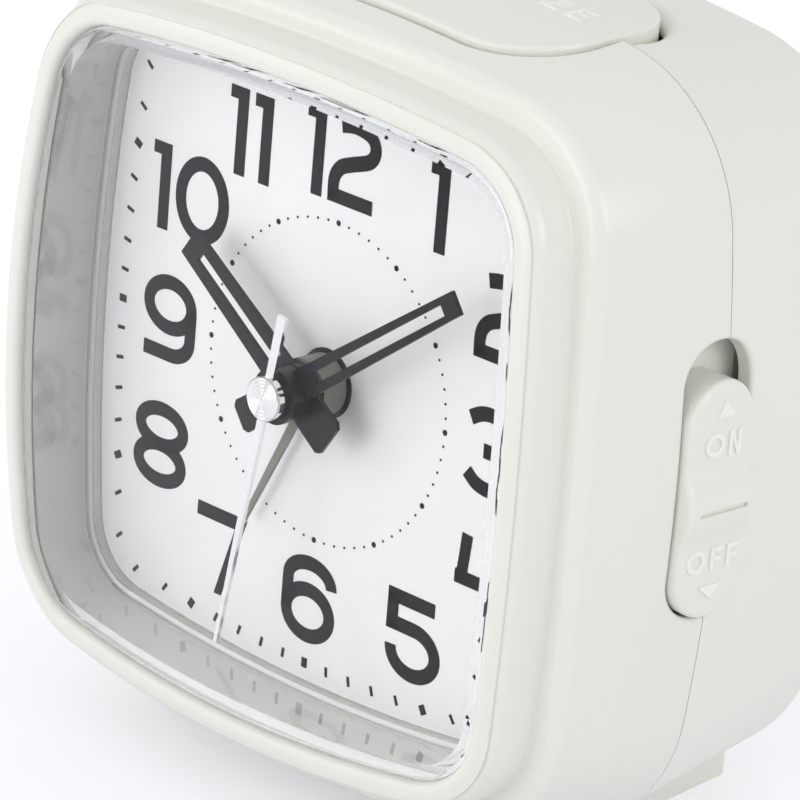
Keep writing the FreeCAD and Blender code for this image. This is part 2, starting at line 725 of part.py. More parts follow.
def knob_recess(grow, y0, y1):
    """Round-ended well in the back wall that holds both knobs."""
    radius = KNOB_RADIUS + KNOB_RECESS_CLEARANCE + grow
    ends = [TIME_SET_AXIS, ALARM_SET_AXIS]
    line = V(ends[1][0] - ends[0][0], 0, ends[1][1] - ends[0][1])
    bridge = Part.makeBox(line.Length, y1 - y0, 2 * radius, V(0, y0, -radius))
    bridge.rotate(V(0, 0, 0), V(0, -1, 0), degrees(atan2(line.z, line.x)))
    bridge.translate(V(ends[0][0], 0, ends[0][1]))
    return fused([bridge] + [rod(radius, y0, y1, axis) for axis in ends])


BAY_HALF_X = CELL_LENGTH / 2 + CONTACT_SPACE
BAY_HALF_Z = CELL_RADIUS + BAY_CLEARANCE
BAY_FRONT_Y = CELL_Y - CELL_RADIUS - 0.3
DOOR_Y = BACK_Y - DOOR_THICKNESS - 0.1


def bay(grow, y0, y1):
    """The battery bay's plan, grown all round."""
    half_x = BAY_HALF_X + grow
    half_z = BAY_HALF_Z + grow
    return block(-half_x, half_x, y0, y1, CELL_Z - half_z, CELL_Z + half_z)


def door_plan(clearance, y0, y1):
    half_x = BAY_HALF_X + DOOR_LEDGE - clearance
    half_z = BAY_HALF_Z + DOOR_LEDGE - clearance
    return rounded_block(-half_x, half_x, y0, y1, CELL_Z - half_z, CELL_Z + half_z, DOOR_CORNER)


def rear_housing():
    start = SEAM_Y + SEAM_GAP / 2
    outer = rear_shell(0.0, start, BACK_Y, REAR_ROUND)
    inner = rear_shell(WALL, start, BACK_Y - WALL, REAR_ROUND - WALL)
    recess_floor_y = BACK_Y - KNOB_RECESS_DEPTH
    additions = [knob_recess(RECESS_WALL, recess_floor_y - RECESS_WALL, BACK_Y - WALL / 2),
                 bay(BAY_WALL, BAY_FRONT_Y - BAY_WALL, BACK_Y - WALL / 2),
                 bay(DOOR_LEDGE + BAY_WALL, DOOR_Y - BAY_WALL, BACK_Y - WALL / 2)]
    for axis, angle in case_screw_axes():
        additions.append(rod(CASE_BOSS, start, BACK_Y, axis))
    additions.append(tube(BUZZER_RADIUS + 1.3, BUZZER_RADIUS + 0.1, BACK_Y - WALL - 2.5,
                          BACK_Y - WALL / 2, (BUZZER_X, BUZZER_Z)))
    shape = outer.cut(inner)
    shape = fused([shape] + [piece.common(outer) for piece in additions])
    cuts = [knob_recess(0.0, recess_floor_y, BACK_Y + 1.0),
            bay(0.0, BAY_FRONT_Y, BACK_Y + 1.0),
            door_plan(0.0, DOOR_Y, BACK_Y + 1.0),
            snooze_opening(), switch_slot()]
    for axis in (TIME_SET_AXIS, ALARM_SET_AXIS):
        cuts.append(rod(KNOB_SHAFT + 0.3, recess_floor_y - RECESS_WALL - 0.5, BACK_Y, axis))
    for axis, angle in case_screw_axes():
        cuts.append(rod(CASE_SCREW_SHANK + 0.2, start - 0.5, BACK_Y, axis))
        cuts.append(rod(CASE_SCREW_HEAD + 0.3, SEAM_Y + CASE_SCREW_SEAT, BACK_Y + 1.0, axis))
    for hole in range(6):
        axis = polar((BUZZER_X, BUZZER_Z), SOUND_RING, 60 * hole)
        cuts.append(rod(SOUND_HOLE, BACK_Y - WALL - 0.5, BACK_Y + 0.5, axis))
    cuts.append(rod(SOUND_HOLE, BACK_Y - WALL - 0.5, BACK_Y + 0.5, (BUZZER_X, BUZZER_Z)))
    for cut in cuts:
        shape = shape.cut(cut)
    shape = shape.makeFillet(SWITCH_SLOT_ROUND, slot_mouth(shape))
    return shape.makeFillet(REAR_MOUTH_ROUND, bar_mouth(shape))


def lens_cup():
    outer_inset = WINDOW_INSET + LENS_CLEARANCE
    inner_inset = outer_inset + LENS_WALL
    end = -LENS_DIAL_GAP
    front_y = PANE_CREST_Y - 1.0
    body = outline_slab(outer_inset, front_y, end).common(dome(PANE_CREST_Y))
    body = body.makeFillet(LENS_EDGE_ROUND, front_edges(body, PANE_CREST_Y, inner_inset, True))
    hollow = outline_slab(inner_inset, front_y, end).common(dome(PANE_CREST_Y + PANE, FRONT_DOME - PANE))
    bead_y = end - LENS_BEAD_LENGTH
    bead = outline_slab(outer_inset, bead_y, end).cut(outline_slab(inner_inset + LENS_BEAD, bead_y, end))
    taper = swept_ring([(outer_inset + 0.1, bead_y + 0.1), (outer_inset + 0.1, front_y),
                        (inner_inset + LENS_TAPER, front_y), (inner_inset, bead_y + 0.1)])
    taper = taper.common(dome(PANE_CREST_Y + PANE / 2))
    flange = outline_slab(outer_inset - LENS_FLANGE, end - LENS_FLANGE_LENGTH, end)
    flange = flange.cut(outline_slab(outer_inset + 0.1, end - LENS_FLANGE_LENGTH, end))
    return fused([body.cut(hollow), taper, bead, flange])


def floor_height(y):
    """The floor's height in the case frame: it rises towards the back, because the case leans."""
    return y * tan(radians(LEAN)) - FLOOR_DROP


def foot_pair(y0, y1, housing):
    top = -side_height(FOOT_OUTER_X, WALL + 4.0)
    corners = [V(FOOT_INNER_X, y0, floor_height(y0)), V(FOOT_INNER_X, y1, floor_height(y1)),
               V(FOOT_INNER_X, y1, top), V(FOOT_INNER_X, y0, top)]
    face = Part.Face(Part.makePolygon(corners + corners[:1]))
    block_foot = face.extrude(V(FOOT_OUTER_X - FOOT_INNER_X, 0, 0))
    upright = [edge for edge in block_foot.Edges if abs(edge.tangentAt(edge.FirstParameter).z) > 0.9]
    foot = block_foot.makeFillet(FOOT_ROUND, upright).cut(housing)
    return Part.makeCompound([foot, mirrored(foot)])


def front_feet():
    solid_side = flank_profile(FOOT_SEAT) + [(12.0, FLANK_TIP_Y), (12.0, SEAM_Y)]
    return foot_pair(FRONT_FOOT_START_Y, FRONT_FOOT_END_Y, swept_ring(solid_side))


def rear_feet():
    form = rear_shell(-FOOT_SEAT, SEAM_Y, BACK_Y + FOOT_SEAT, REAR_ROUND)
    return foot_pair(REAR_FOOT_START_Y, REAR_FOOT_END_Y, form)


# ---- dial, carrier and screws -----------------------------------------------------------------

def dial_plate():
    shape = outline_slab(DIAL_INSET, 0.0, DIAL_THICKNESS).cut(rod(DIAL_HOLE, -1, 1))
    for axis in carrier_screw_axes():
        shape = shape.cut(rod(CARRIER_BOSS + 0.15, -1, 1, axis))
    return shape


def dial_carrier():
    shape = outline_slab(DIAL_INSET, DIAL_THICKNESS, CARRIER_BACK_Y)
    ears = [rod(CARRIER_BOSS, DIAL_THICKNESS, CARRIER_BACK_Y, axis) for axis in carrier_screw_axes()]
    spring_y = SEAM_Y
    shelf_end = spring_y + SHELF_OVERHANG
    shelf = block(SHELF_START_X, SHELF_END_X, DIAL_THICKNESS, shelf_end, SHELF_Z - SHELF_THICKNESS, SHELF_Z)
    pin = Part.makeCylinder(SPRING_RADIUS - SPRING_WIRE - 0.3, 2.5, V(0, spring_y, SHELF_Z))
    ribs = [block(x, x + SHELF_RIB, CARRIER_BACK_Y - 0.5, shelf_end,
                  MOVEMENT_HALF + RIB_CLEARANCE, SHELF_Z - SHELF_THICKNESS / 2)
            for x in (SHELF_START_X, SHELF_END_X - SHELF_RIB)]
    shape = fused([shape] + ears + [shelf, pin] + ribs)
    shape = shape.cut(rod(NECK + NECK_CLEARANCE, 0, 3))
    for axis in carrier_screw_axes():
        shape = shape.cut(rod(CARRIER_SCREW_SHANK + 0.15, 0, 3, axis))
    for axis, angle in case_screw_axes():
        shape = shape.cut(rod(CASE_BOSS + 0.3, 0, 3, axis))
    return shape


def pan_screw(axis, seat_y, shank, head, length):
    """A screw whose head sits behind seat_y and whose shank points forwards."""
    head_length = 0.75 * head
    body = rod(shank, seat_y - length, seat_y, axis)
    cap = rod(head, seat_y, seat_y + head_length, axis)
    rim = [edge for edge in cap.Edges
           if edge.Closed and abs(edge.Vertexes[0].Point.y - seat_y - head_length) < 1e-6]
    cap = cap.makeFillet(0.4 * head_length, rim)
    depth = 0.55 * head_length
    arm, half = 0.62 * head, 0.14 * head
    top = seat_y + head_length
    cross = [block(axis[0] - a, axis[0] + a, top - depth, top + 1, axis[1] - b, axis[1] + b)
             for a, b in ((arm, half), (half, arm))]
    return fused([body, cap]).cut(fused(cross))


def case_screws():
    return Part.makeCompound([pan_screw(axis, SEAM_Y + CASE_SCREW_SEAT, CASE_SCREW_SHANK,
                                        CASE_SCREW_HEAD, CASE_SCREW_LENGTH)
                              for axis, angle in case_screw_axes()])


def carrier_screws():
    return Part.makeCompound([pan_screw(axis, CARRIER_BACK_Y, CARRIER_SCREW_SHANK,
                                        CARRIER_SCREW_HEAD, CARRIER_SCREW_LENGTH)
                              for axis in carrier_screw_axes()])


# ---- hands ------------------------------------------------------------------------------------

def slotted_hand(length, tail, tip_half, tail_half, blade_y, hub, tube_radius, hub_y0, hub_y1, angle):
    """A tapered blade with an open slot and a square tail, on a round hub."""
    cut = TAIL_CHAMFER
    outline = [(-tip_half, length), (tip_half, length), (tail_half, cut - tail),
               (tail_half - cut, -tail), (cut - tail_half, -tail), (-tail_half, cut - tail)]
    blade = plate_from(outline, blade_y, BLADE)
    slot = block(-SLOT_HALF, SLOT_HALF, blade_y - 1, blade_y + 1, hub + 1.6, length - SLOT_END)
    shape = fused([blade.cut(slot), rod(hub, hub_y0, hub_y1)])
    return clockwise(shape.cut(rod(tube_radius + SEAT, hub_y0 - 1, hub_y1 + 1)), angle)


def hour_hand():
    return slotted_hand(HOUR_LENGTH, HOUR_TAIL, HOUR_TIP_HALF, HOUR_TAIL_HALF, HOUR_BLADE_Y,
                        HOUR_HUB, HOUR_TUBE, HOUR_BLADE_Y - 0.2, ALARM_BLADE_Y - 1.9, HOUR_ANGLE)


def minute_hand():
    return slotted_hand(MINUTE_LENGTH, MINUTE_TAIL, MINUTE_TIP_HALF, MINUTE_TAIL_HALF,
                        MINUTE_BLADE_Y, MINUTE_HUB, MINUTE_TUBE, MINUTE_HUB_FRONT_Y,
                        MINUTE_BLADE_Y + BLADE + 0.15, MINUTE_ANGLE)


def second_hand():
    needle = plate_from([(-NEEDLE_TIP_HALF, SECOND_LENGTH), (NEEDLE_TIP_HALF, SECOND_LENGTH),
                         (NEEDLE_TAIL_HALF, -SECOND_TAIL), (-NEEDLE_TAIL_HALF, -SECOND_TAIL)],
                        NEEDLE_Y, NEEDLE_THICKNESS)
    cap = rod(SECOND_CAP, SECOND_CAP_FRONT_Y, SECOND_CAP_BACK_Y)
    rim = [edge for edge in cap.Edges
           if edge.Closed and abs(edge.Vertexes[0].Point.y - SECOND_CAP_FRONT_Y) < 1e-6]
    cap = cap.makeFillet(0.25, rim)
    boss = rod(2.5 * SECOND_ARBOR, SECOND_CAP_BACK_Y, MINUTE_HUB_FRONT_Y - 0.25)
    shape = fused([needle, cap, boss])
    return clockwise(shape.cut(rod(SECOND_ARBOR + SEAT, NEEDLE_Y, 0)), SECOND_ANGLE)


def alarm_hand():
    blade = plate_from([(-ALARM_TIP_HALF, ALARM_LENGTH), (ALARM_TIP_HALF, ALARM_LENGTH),
                        (ALARM_ROOT_HALF, 0), (-ALARM_ROOT_HALF, 0)], ALARM_BLADE_Y, BLADE)
    hub = rod(ALARM_HUB, ALARM_HUB_FRONT_Y, -0.3)
    shape = fused([blade, hub]).cut(rod(ALARM_TUBE + SEAT, ALARM_HUB_FRONT_Y - 1, 0.0))
    return clockwise(shape, ALARM_ANGLE)


# ---- movement ---------------------------------------------------------------------------------

def movement_shell(y0, y1, inner_y0, inner_y1):
    half = MOVEMENT_HALF
    hollow = half - MOVEMENT_WALL
    outer = rounded_block(-half, half, y0, y1, -half, half, MOVEMENT_CORNER)
    inner = rounded_block(-hollow, hollow, inner_y0, inner_y1, -hollow, hollow,
                          MOVEMENT_CORNER - MOVEMENT_WALL)
    return outer.cut(inner)


TRAIN_AXES = [MOTION_AXIS, THIRD_AXIS, INTERMEDIATE_AXIS, ROTOR_AXIS]


def movement_front():
    shape = movement_shell(CARRIER_BACK_Y, MOVEMENT_SPLIT_Y, MOVEMENT_INNER_Y, MOVEMENT_SPLIT_Y + 1)
    shape = shape.fuse(rod(NECK, -0.1, MOVEMENT_INNER_Y))
    # bearing bosses for the arbors whose first wheel lies deep in the case
    for axis in (THIRD_AXIS, INTERMEDIATE_AXIS, ROTOR_AXIS):
        shape = shape.fuse(rod(1.4, CARRIER_BACK_Y + 0.5, bearing_y(axis), axis))
    shape = shape.cut(rod(NECK_BORE, -1, MOVEMENT_INNER_Y + 1))
    for axis in TRAIN_AXES:
        front = bearing_y(axis)
        shape = shape.cut(rod(PIVOT + RUNNING, front - PIVOT_DEPTH - 0.1, front + 0.1, axis))
    for axis in (TIME_SET_AXIS, ALARM_SET_AXIS):
        shape = shape.cut(rod(PIVOT + RUNNING, MOVEMENT_INNER_Y - PIVOT_DEPTH - 0.1,
                              MOVEMENT_INNER_Y + 0.1, axis))
    return shape.removeSplitter()


def bearing_y(axis):
    """Where an arbor's front shoulder stands: the front wall, or the top of its bearing boss."""
    if axis == MOTION_AXIS:
        return MOVEMENT_INNER_Y
    return HOUR_LAYER - 0.5


def movement_back():
    shape = movement_shell(MOVEMENT_SPLIT_Y, MOVEMENT_BACK_Y, MOVEMENT_SPLIT_Y - 1, MOVEMENT_END_Y)
    posts = [rod(1.2, STATOR_Y + STATOR_THICKNESS, MOVEMENT_END_Y + 0.5, axis)
             for axis in stator_post_axes()]
    posts.append(rod(1.4, MOTION_LAYER + WHEEL + PINION_OVERHANG + 0.2, MOVEMENT_END_Y + 0.5, MOTION_AXIS))
    shape = fused([shape] + posts)
    for axis in TRAIN_AXES[1:]:
        shape = shape.cut(rod(PIVOT + RUNNING, MOVEMENT_END_Y - 0.1,
                              MOVEMENT_END_Y + PIVOT_DEPTH + 0.1, axis))
    shape = shape.cut(rod(SECOND_ARBOR + RUNNING, MOVEMENT_END_Y - 0.1,
                          MOVEMENT_END_Y + PIVOT_DEPTH + 0.1))
    back = MOTION_LAYER + WHEEL + PINION_OVERHANG + 0.2
    shape = shape.cut(rod(PIVOT + RUNNING, back - 0.1, back + PIVOT_DEPTH + 0.1, MOTION_AXIS))
    for axis in (TIME_SET_AXIS, ALARM_SET_AXIS):
        shape = shape.cut(rod(KNOB_SHAFT + RUNNING, MOVEMENT_END_Y - 1, MOVEMENT_BACK_Y + 1, axis))
    return shape


def arbor(axis, y0, y1, radius=ARBOR):
    """An arbor between two shoulders, with a thinner pivot at each end."""
    return fused([rod(radius, y0 + 0.1, y1 - 0.1, axis),
                  rod(PIVOT, y0 - PIVOT_DEPTH, y1 + PIVOT_DEPTH, axis)])


def pinion(teeth, module, layer, axis, phase, front_extra=0.0):
    start = layer - PINION_OVERHANG - front_extra
    return gear(teeth, module, start, layer + WHEEL + PINION_OVERHANG - start, axis, phase)


CANNON_PHASE = 0.0
MOTION_PHASE = meshing_phase(CANNON_TEETH, CANNON_PHASE, DIAL_AXIS, MOTION_TEETH, MOTION_AXIS)
SET_PHASE = meshing_phase(MOTION_TEETH, MOTION_PHASE, MOTION_AXIS, SET_TEETH, TIME_SET_AXIS)
MOTION_PINION_PHASE = 0.0
HOUR_PHASE = meshing_phase(MOTION_PINION_TEETH, MOTION_PINION_PHASE, MOTION_AXIS, HOUR_TEETH, DIAL_AXIS)
ALARM_PHASE = 0.0
ALARM_SET_PHASE = meshing_phase(ALARM_TEETH, ALARM_PHASE, DIAL_AXIS, ALARM_PINION_TEETH, ALARM_SET_AXIS)
SECOND_PHASE = 0.0
THIRD_PHASE = meshing_phase(SECOND_PINION_TEETH, SECOND_PHASE, DIAL_AXIS, THIRD_TEETH, THIRD_AXIS)
THIRD_PINION_PHASE = 0.0
CENTRE_PHASE = meshing_phase(THIRD_PINION_TEETH, THIRD_PINION_PHASE, THIRD_AXIS, CENTRE_TEETH, DIAL_AXIS)
INTERMEDIATE_PINION_PHASE = meshing_phase(SECOND_TEETH, SECOND_PHASE, DIAL_AXIS,
                                          INTERMEDIATE_PINION_TEETH, INTERMEDIATE_AXIS)
INTERMEDIATE_PHASE = 0.0
ROTOR_PHASE = meshing_phase(INTERMEDIATE_TEETH, INTERMEDIATE_PHASE, INTERMEDIATE_AXIS,
                            ROTOR_PINION_TEETH, ROTOR_AXIS)


def alarm_wheel():
    wheel = gear(ALARM_TEETH, ALARM_MODULE, ALARM_LAYER, WHEEL, DIAL_AXIS, ALARM_PHASE)
    barrel = rod(ALARM_TUBE, ALARM_BLADE_Y - 1.4, ALARM_LAYER + WHEEL)
    return fused([wheel, barrel]).cut(rod(ALARM_BORE, -20, 20))


def hour_wheel():
    wheel = gear(HOUR_TEETH, HOUR_MODULE, HOUR_LAYER, WHEEL, DIAL_AXIS, HOUR_PHASE)
    barrel = rod(HOUR_TUBE, HOUR_BLADE_Y - 0.35, HOUR_LAYER + WHEEL)
    return fused([wheel, barrel]).cut(rod(HOUR_BORE, -20, 20))


def cannon_pinion():
    leaves = pinion(CANNON_TEETH, MOTION_MODULE, MOTION_LAYER, DIAL_AXIS, CANNON_PHASE)
    barrel = rod(MINUTE_TUBE, MINUTE_HUB_FRONT_Y, CENTRE_LAYER + WHEEL + 0.4)
    return fused([leaves, barrel]).cut(rod(MINUTE_BORE, -20, 20))


def motion_wheel():
    wheel = gear(MOTION_TEETH, MOTION_MODULE, MOTION_LAYER, WHEEL, MOTION_AXIS, MOTION_PHASE)
    leaves = gear(MOTION_PINION_TEETH, HOUR_MODULE, HOUR_LAYER - PINION_OVERHANG,
                  MOTION_LAYER - HOUR_LAYER + PINION_OVERHANG + 0.1, MOTION_AXIS, MOTION_PINION_PHASE)
    shaft = arbor(MOTION_AXIS, MOVEMENT_INNER_Y, MOTION_LAYER + WHEEL + PINION_OVERHANG + 0.2)
    return fused([wheel, leaves, shaft])


def centre_wheel():
    wheel = gear(CENTRE_TEETH, CENTRE_MODULE, CENTRE_LAYER, WHEEL, DIAL_AXIS, CENTRE_PHASE)
    return wheel.cut(rod(MINUTE_TUBE + RUNNING, 0, 20))


def third_wheel():
    wheel = gear(THIRD_TEETH, TRAIN_MODULE, THIRD_LAYER, WHEEL, THIRD_AXIS, THIRD_PHASE)
    leaves = pinion(THIRD_PINION_TEETH, CENTRE_MODULE, CENTRE_LAYER, THIRD_AXIS, THIRD_PINION_PHASE)
    return fused([wheel, leaves, arbor(THIRD_AXIS, bearing_y(THIRD_AXIS), MOVEMENT_END_Y)])


def second_wheel():
    wheel = gear(SECOND_TEETH, TRAIN_MODULE, SECOND_LAYER, WHEEL, DIAL_AXIS, SECOND_PHASE)
    leaves = pinion(SECOND_PINION_TEETH, TRAIN_MODULE, THIRD_LAYER, DIAL_AXIS, SECOND_PHASE)
    spine = rod(SECOND_ARBOR, NEEDLE_Y + 0.1, MOVEMENT_END_Y + PIVOT_DEPTH)
    shoulder = rod(2 * SECOND_ARBOR, THIRD_LAYER + WHEEL, MOVEMENT_END_Y - 0.1)
    return fused([wheel, leaves, spine, shoulder])


def intermediate_wheel():
    wheel = gear(INTERMEDIATE_TEETH, ROTOR_MODULE, THIRD_LAYER, WHEEL, INTERMEDIATE_AXIS, INTERMEDIATE_PHASE)
    leaves = pinion(INTERMEDIATE_PINION_TEETH, TRAIN_MODULE, SECOND_LAYER, INTERMEDIATE_AXIS,
                    INTERMEDIATE_PINION_PHASE)
    shaft = arbor(INTERMEDIATE_AXIS, bearing_y(INTERMEDIATE_AXIS), MOVEMENT_END_Y)
    return fused([wheel, leaves, shaft])


def rotor():
    leaves = pinion(ROTOR_PINION_TEETH, ROTOR_MODULE, THIRD_LAYER, ROTOR_AXIS, ROTOR_PHASE)
    middle = STATOR_Y + STATOR_THICKNESS / 2
    magnet = rod(MAGNET_RADIUS, middle - MAGNET_LENGTH / 2, middle + MAGNET_LENGTH / 2, ROTOR_AXIS)
    return fused([leaves, magnet, arbor(ROTOR_AXIS, bearing_y(ROTOR_AXIS), MOVEMENT_END_Y)])


def core_height():
    return ROTOR_AXIS[1] + COIL_RISE


def stator_half():
    return COIL_LENGTH / 2 + 3.0


def stator_post_axes():
    reach = stator_half() - 1.5
    return [(ROTOR_AXIS[0] + side * reach, ROTOR_AXIS[1] - 2.0) for side in (-1, 1)]


def stator():
    x, z = ROTOR_AXIS
    half = stator_half()
    y1 = STATOR_Y + STATOR_THICKNESS
    leg = half - COIL_LENGTH / 2 - 0.3
    shape = fused([block(x - half, x + half, STATOR_Y, y1, z - 4.0, z + 3.4),
                   block(x - half, x - half + leg, STATOR_Y, y1, z, core_height() + CORE_HALF),
                   block(x + half - leg, x + half, STATOR_Y, y1, z, core_height() + CORE_HALF),
                   block(x - half, x + half, STATOR_Y, y1, core_height() - CORE_HALF,
                         core_height() + CORE_HALF)])
    return shape.cut(rod(STATOR_BORE, STATOR_Y - 1, y1 + 1, ROTOR_AXIS))


def motor_coil():
    x = ROTOR_AXIS[0]
    half = COIL_LENGTH / 2
    y = STATOR_Y + STATOR_THICKNESS / 2
    winding = Part.makeCylinder(COIL_RADIUS - 0.5, 2 * half, V(x - half, y, core_height()), V(1, 0, 0))
    cheeks = [Part.makeCylinder(COIL_RADIUS, 0.9, V(start, y, core_height()), V(1, 0, 0))
              for start in (x - half, x + half - 0.9)]
    gap = 0.03
    core = block(x - half - 1, x + half + 1, STATOR_Y - gap, STATOR_Y + STATOR_THICKNESS + gap,
                 core_height() - CORE_HALF - gap, core_height() + CORE_HALF + gap)
    return fused([winding] + cheeks).cut(core)


BOARD_Y = MOVEMENT_END_Y - BOARD_THICKNESS


def circuit_board():
    return block(BOARD_START_X, MOVEMENT_HALF - BOARD_MARGIN, BOARD_Y, MOVEMENT_END_Y,
                 BOARD_MARGIN - MOVEMENT_HALF, BOARD_TOP_Z)


def quartz_crystal():
    centre_y = BOARD_Y - CRYSTAL_RADIUS
    return along_x(CRYSTAL_RADIUS, CRYSTAL_X, CRYSTAL_X + CRYSTAL_LENGTH, centre_y, CRYSTAL_Z)


def clock_chip():
    ball = Part.makeSphere(CHIP_BALL, V(CHIP_X, BOARD_Y + CHIP_BALL - CHIP_HEIGHT, CHIP_Z))
    return ball.common(block(CHIP_X - CHIP_BALL, CHIP_X + CHIP_BALL, BOARD_Y - CHIP_BALL, BOARD_Y,
                             CHIP_Z - CHIP_BALL, CHIP_Z + CHIP_BALL))


# ---- setting shafts and knobs -------------------------------------------------------------------

def set_shaft(axis, leaves):
    knob_y = BACK_Y - KNOB_RECESS_DEPTH + 0.3
    stem = rod(KNOB_SHAFT, MOVEMENT_INNER_Y + 0.1, knob_y + KNOB_LENGTH - 1.5, axis)
    pivot = rod(PIVOT, MOVEMENT_INNER_Y - PIVOT_DEPTH, MOVEMENT_INNER_Y + 0.5, axis)
    return fused([stem, pivot, leaves])


def time_set_shaft():
    leaves = pinion(SET_TEETH, MOTION_MODULE, MOTION_LAYER, TIME_SET_AXIS, SET_PHASE)
    return set_shaft(TIME_SET_AXIS, leaves)


def alarm_set_shaft():
    leaves = gear(ALARM_PINION_TEETH, ALARM_MODULE, MOVEMENT_INNER_Y + 0.15,
                  ALARM_LAYER + WHEEL + 0.1 - MOVEMENT_INNER_Y - 0.15, ALARM_SET_AXIS, ALARM_SET_PHASE)
    return set_shaft(ALARM_SET_AXIS, leaves)


def set_knob(axis):
    y0 = BACK_Y - KNOB_RECESS_DEPTH + 0.3
    y1 = y0 + KNOB_LENGTH
    body = rod(KNOB_RADIUS - KNOB_RIB_RADIUS, y0, y1, axis)
    rim = [edge for edge in body.Edges
           if edge.Closed and abs(edge.Vertexes[0].Point.y - y1) < 1e-6]
    body = body.makeFillet(0.5, rim)
    ribs = [rod(KNOB_RIB_RADIUS, y0, y1 - 0.6, polar(axis, KNOB_RADIUS - KNOB_RIB_RADIUS, 360 * i / KNOB_RIBS))
            for i in range(KNOB_RIBS)]
    return fused([body] + ribs).cut(rod(KNOB_SHAFT + SEAT, y0 - 1, y1 - 1.5, axis))


# ---- battery and buzzer -------------------------------------------------------------------------

def along_x(radius, x0, x1, y, z):
    return Part.makeCylinder(radius, x1 - x0, V(x0, y, z), V(1, 0, 0))


def battery_cell():
    half = CELL_LENGTH / 2
    can = along_x(CELL_RADIUS, -half, half - CELL_NUB, CELL_Y, CELL_Z)
    can = can.makeFillet(0.6, [edge for edge in can.Edges if edge.Closed])
    return fused([can, along_x(CELL_NUB_RADIUS, half - CELL_NUB - 0.5, half, CELL_Y, CELL_Z)])


def battery_contact_plus():
    half = CELL_LENGTH / 2
    wall = BAY_HALF_X
    strip = block(wall - CONTACT_STRIP, wall, CELL_Y - CONTACT_HALF_Y, CELL_Y + CONTACT_HALF_Y,
                  CELL_Z - CONTACT_HALF_Z, CELL_Z + CONTACT_HALF_Z)
    bump = along_x(2.2, half + 0.1, wall - CONTACT_STRIP / 2, CELL_Y, CELL_Z)
    return fused([strip, bump])


def battery_contact_minus():
    half = CELL_LENGTH / 2
    wall = BAY_HALF_X
    strip = block(-wall, CONTACT_STRIP - wall, CELL_Y - CONTACT_HALF_Y, CELL_Y + CONTACT_HALF_Y,
                  CELL_Z - CONTACT_HALF_Z, CELL_Z + CONTACT_HALF_Z)
    length = wall - half - CONTACT_STRIP + 0.2
    coil = coil_spring(3.2, 0.3, 0.75, length)
    coil.rotate(V(0, 0, 0), V(0, 1, 0), 90)
    coil.translate(V(CONTACT_STRIP - wall - 0.25, CELL_Y, CELL_Z))
    return fused([strip, coil])


def battery_door():
    plate = door_plan(DOOR_CLEARANCE, DOOR_Y, BACK_Y - 0.1)
    grip = [block(-6.0, 6.0, BACK_Y - 0.5, BACK_Y + 1, CELL_Z + z, CELL_Z + z + 0.7)
            for z in (3.0, 4.6, 6.2)]
    return plate.cut(fused(grip))


def buzzer():
    end = BACK_Y - WALL
    axis = (BUZZER_X, BUZZER_Z)
    can = rod(BUZZER_RADIUS, end - BUZZER_LENGTH, end, axis)
    return can.cut(rod(2.0, end - 1.5, end + 1, axis))


# ---- snooze bar ---------------------------------------------------------------------------------

def snooze_section(top_shift, low):
    """Section across the bar, as (inset, y): a shallow arc over a level underside."""
    crest = top_shift - SNOOZE_PROUD
    return [(crest + SNOOZE_FRONT_FALL, SNOOZE_FRONT_Y),
            (crest, SEAM_Y, crest + SNOOZE_REAR_FALL, SNOOZE_BACK_Y),
            (low, SNOOZE_BACK_Y), (low, SNOOZE_FRONT_Y)]


def snooze_solid(top_shift, low):
    top = outline_arcs(0.0)[2]
    half_angle = (SNOOZE_HALF_WIDTH + 2.0) / SIDE_BOW
    arc = (top[0], top[1], top[2], pi / 2 - half_angle, pi / 2 + half_angle)
    face = profile_face(snooze_section(top_shift, low), arc)
    return face.revolve(V(arc[0], 0, arc[1]), V(0, -1, 0), degrees(2 * half_angle))


def snooze_button():
    full = snooze_solid(0.0, SNOOZE_SKIRT).common(snooze_prism(0.0))
    upper = [edge for edge in full.Edges
             if edge.CenterOfMass.z > side_height(SNOOZE_HALF_WIDTH, SNOOZE_SKIRT) + 2.0
             and abs(edge.tangentAt(edge.FirstParameter).z) < 0.9]
    full = full.makeFillet(SNOOZE_ROUND, upper)
    hollow = snooze_solid(SNOOZE_WALL, SNOOZE_SKIRT + 3.0).common(snooze_prism(-SNOOZE_WALL))
    shell = full.cut(hollow)
    seat_z = side_height(0, SNOOZE_WALL - SNOOZE_PROUD)
    post = Part.makeCylinder(SNOOZE_POST, SNOOZE_POST_LENGTH + 0.4,
                             V(SNOOZE_POST_X, SEAM_Y, seat_z - SNOOZE_POST_LENGTH))
    return fused([shell, post])


def snooze_spring():
    seat_z = side_height(0, SNOOZE_WALL - SNOOZE_PROUD)
    length = seat_z - SHELF_Z - 0.15
    spring = coil_spring(SPRING_RADIUS, SPRING_WIRE, SPRING_PITCH, length)
    spring.translate(V(0, SEAM_Y, SHELF_Z + 0.05))
    return spring


def snooze_contact():
    """A small push switch on the shelf, under the bar's post."""
    seat_z = side_height(0, SNOOZE_WALL - SNOOZE_PROUD)
    half = PUSH_SWITCH_HALF
    body_top = SHELF_Z + PUSH_SWITCH_HEIGHT
    body = block(SNOOZE_POST_X - half, SNOOZE_POST_X + half, SEAM_Y - half, SEAM_Y + half, SHELF_Z, body_top)
    plunger_start = body_top - 0.2
    plunger_top = seat_z - SNOOZE_POST_LENGTH - SNOOZE_TRAVEL - 0.1
    plunger = Part.makeCylinder(PLUNGER, plunger_top - plunger_start, V(SNOOZE_POST_X, SEAM_Y, plunger_start))
    return fused([body, plunger])


# ---- alarm switch ---------------------------------------------------------------------------------

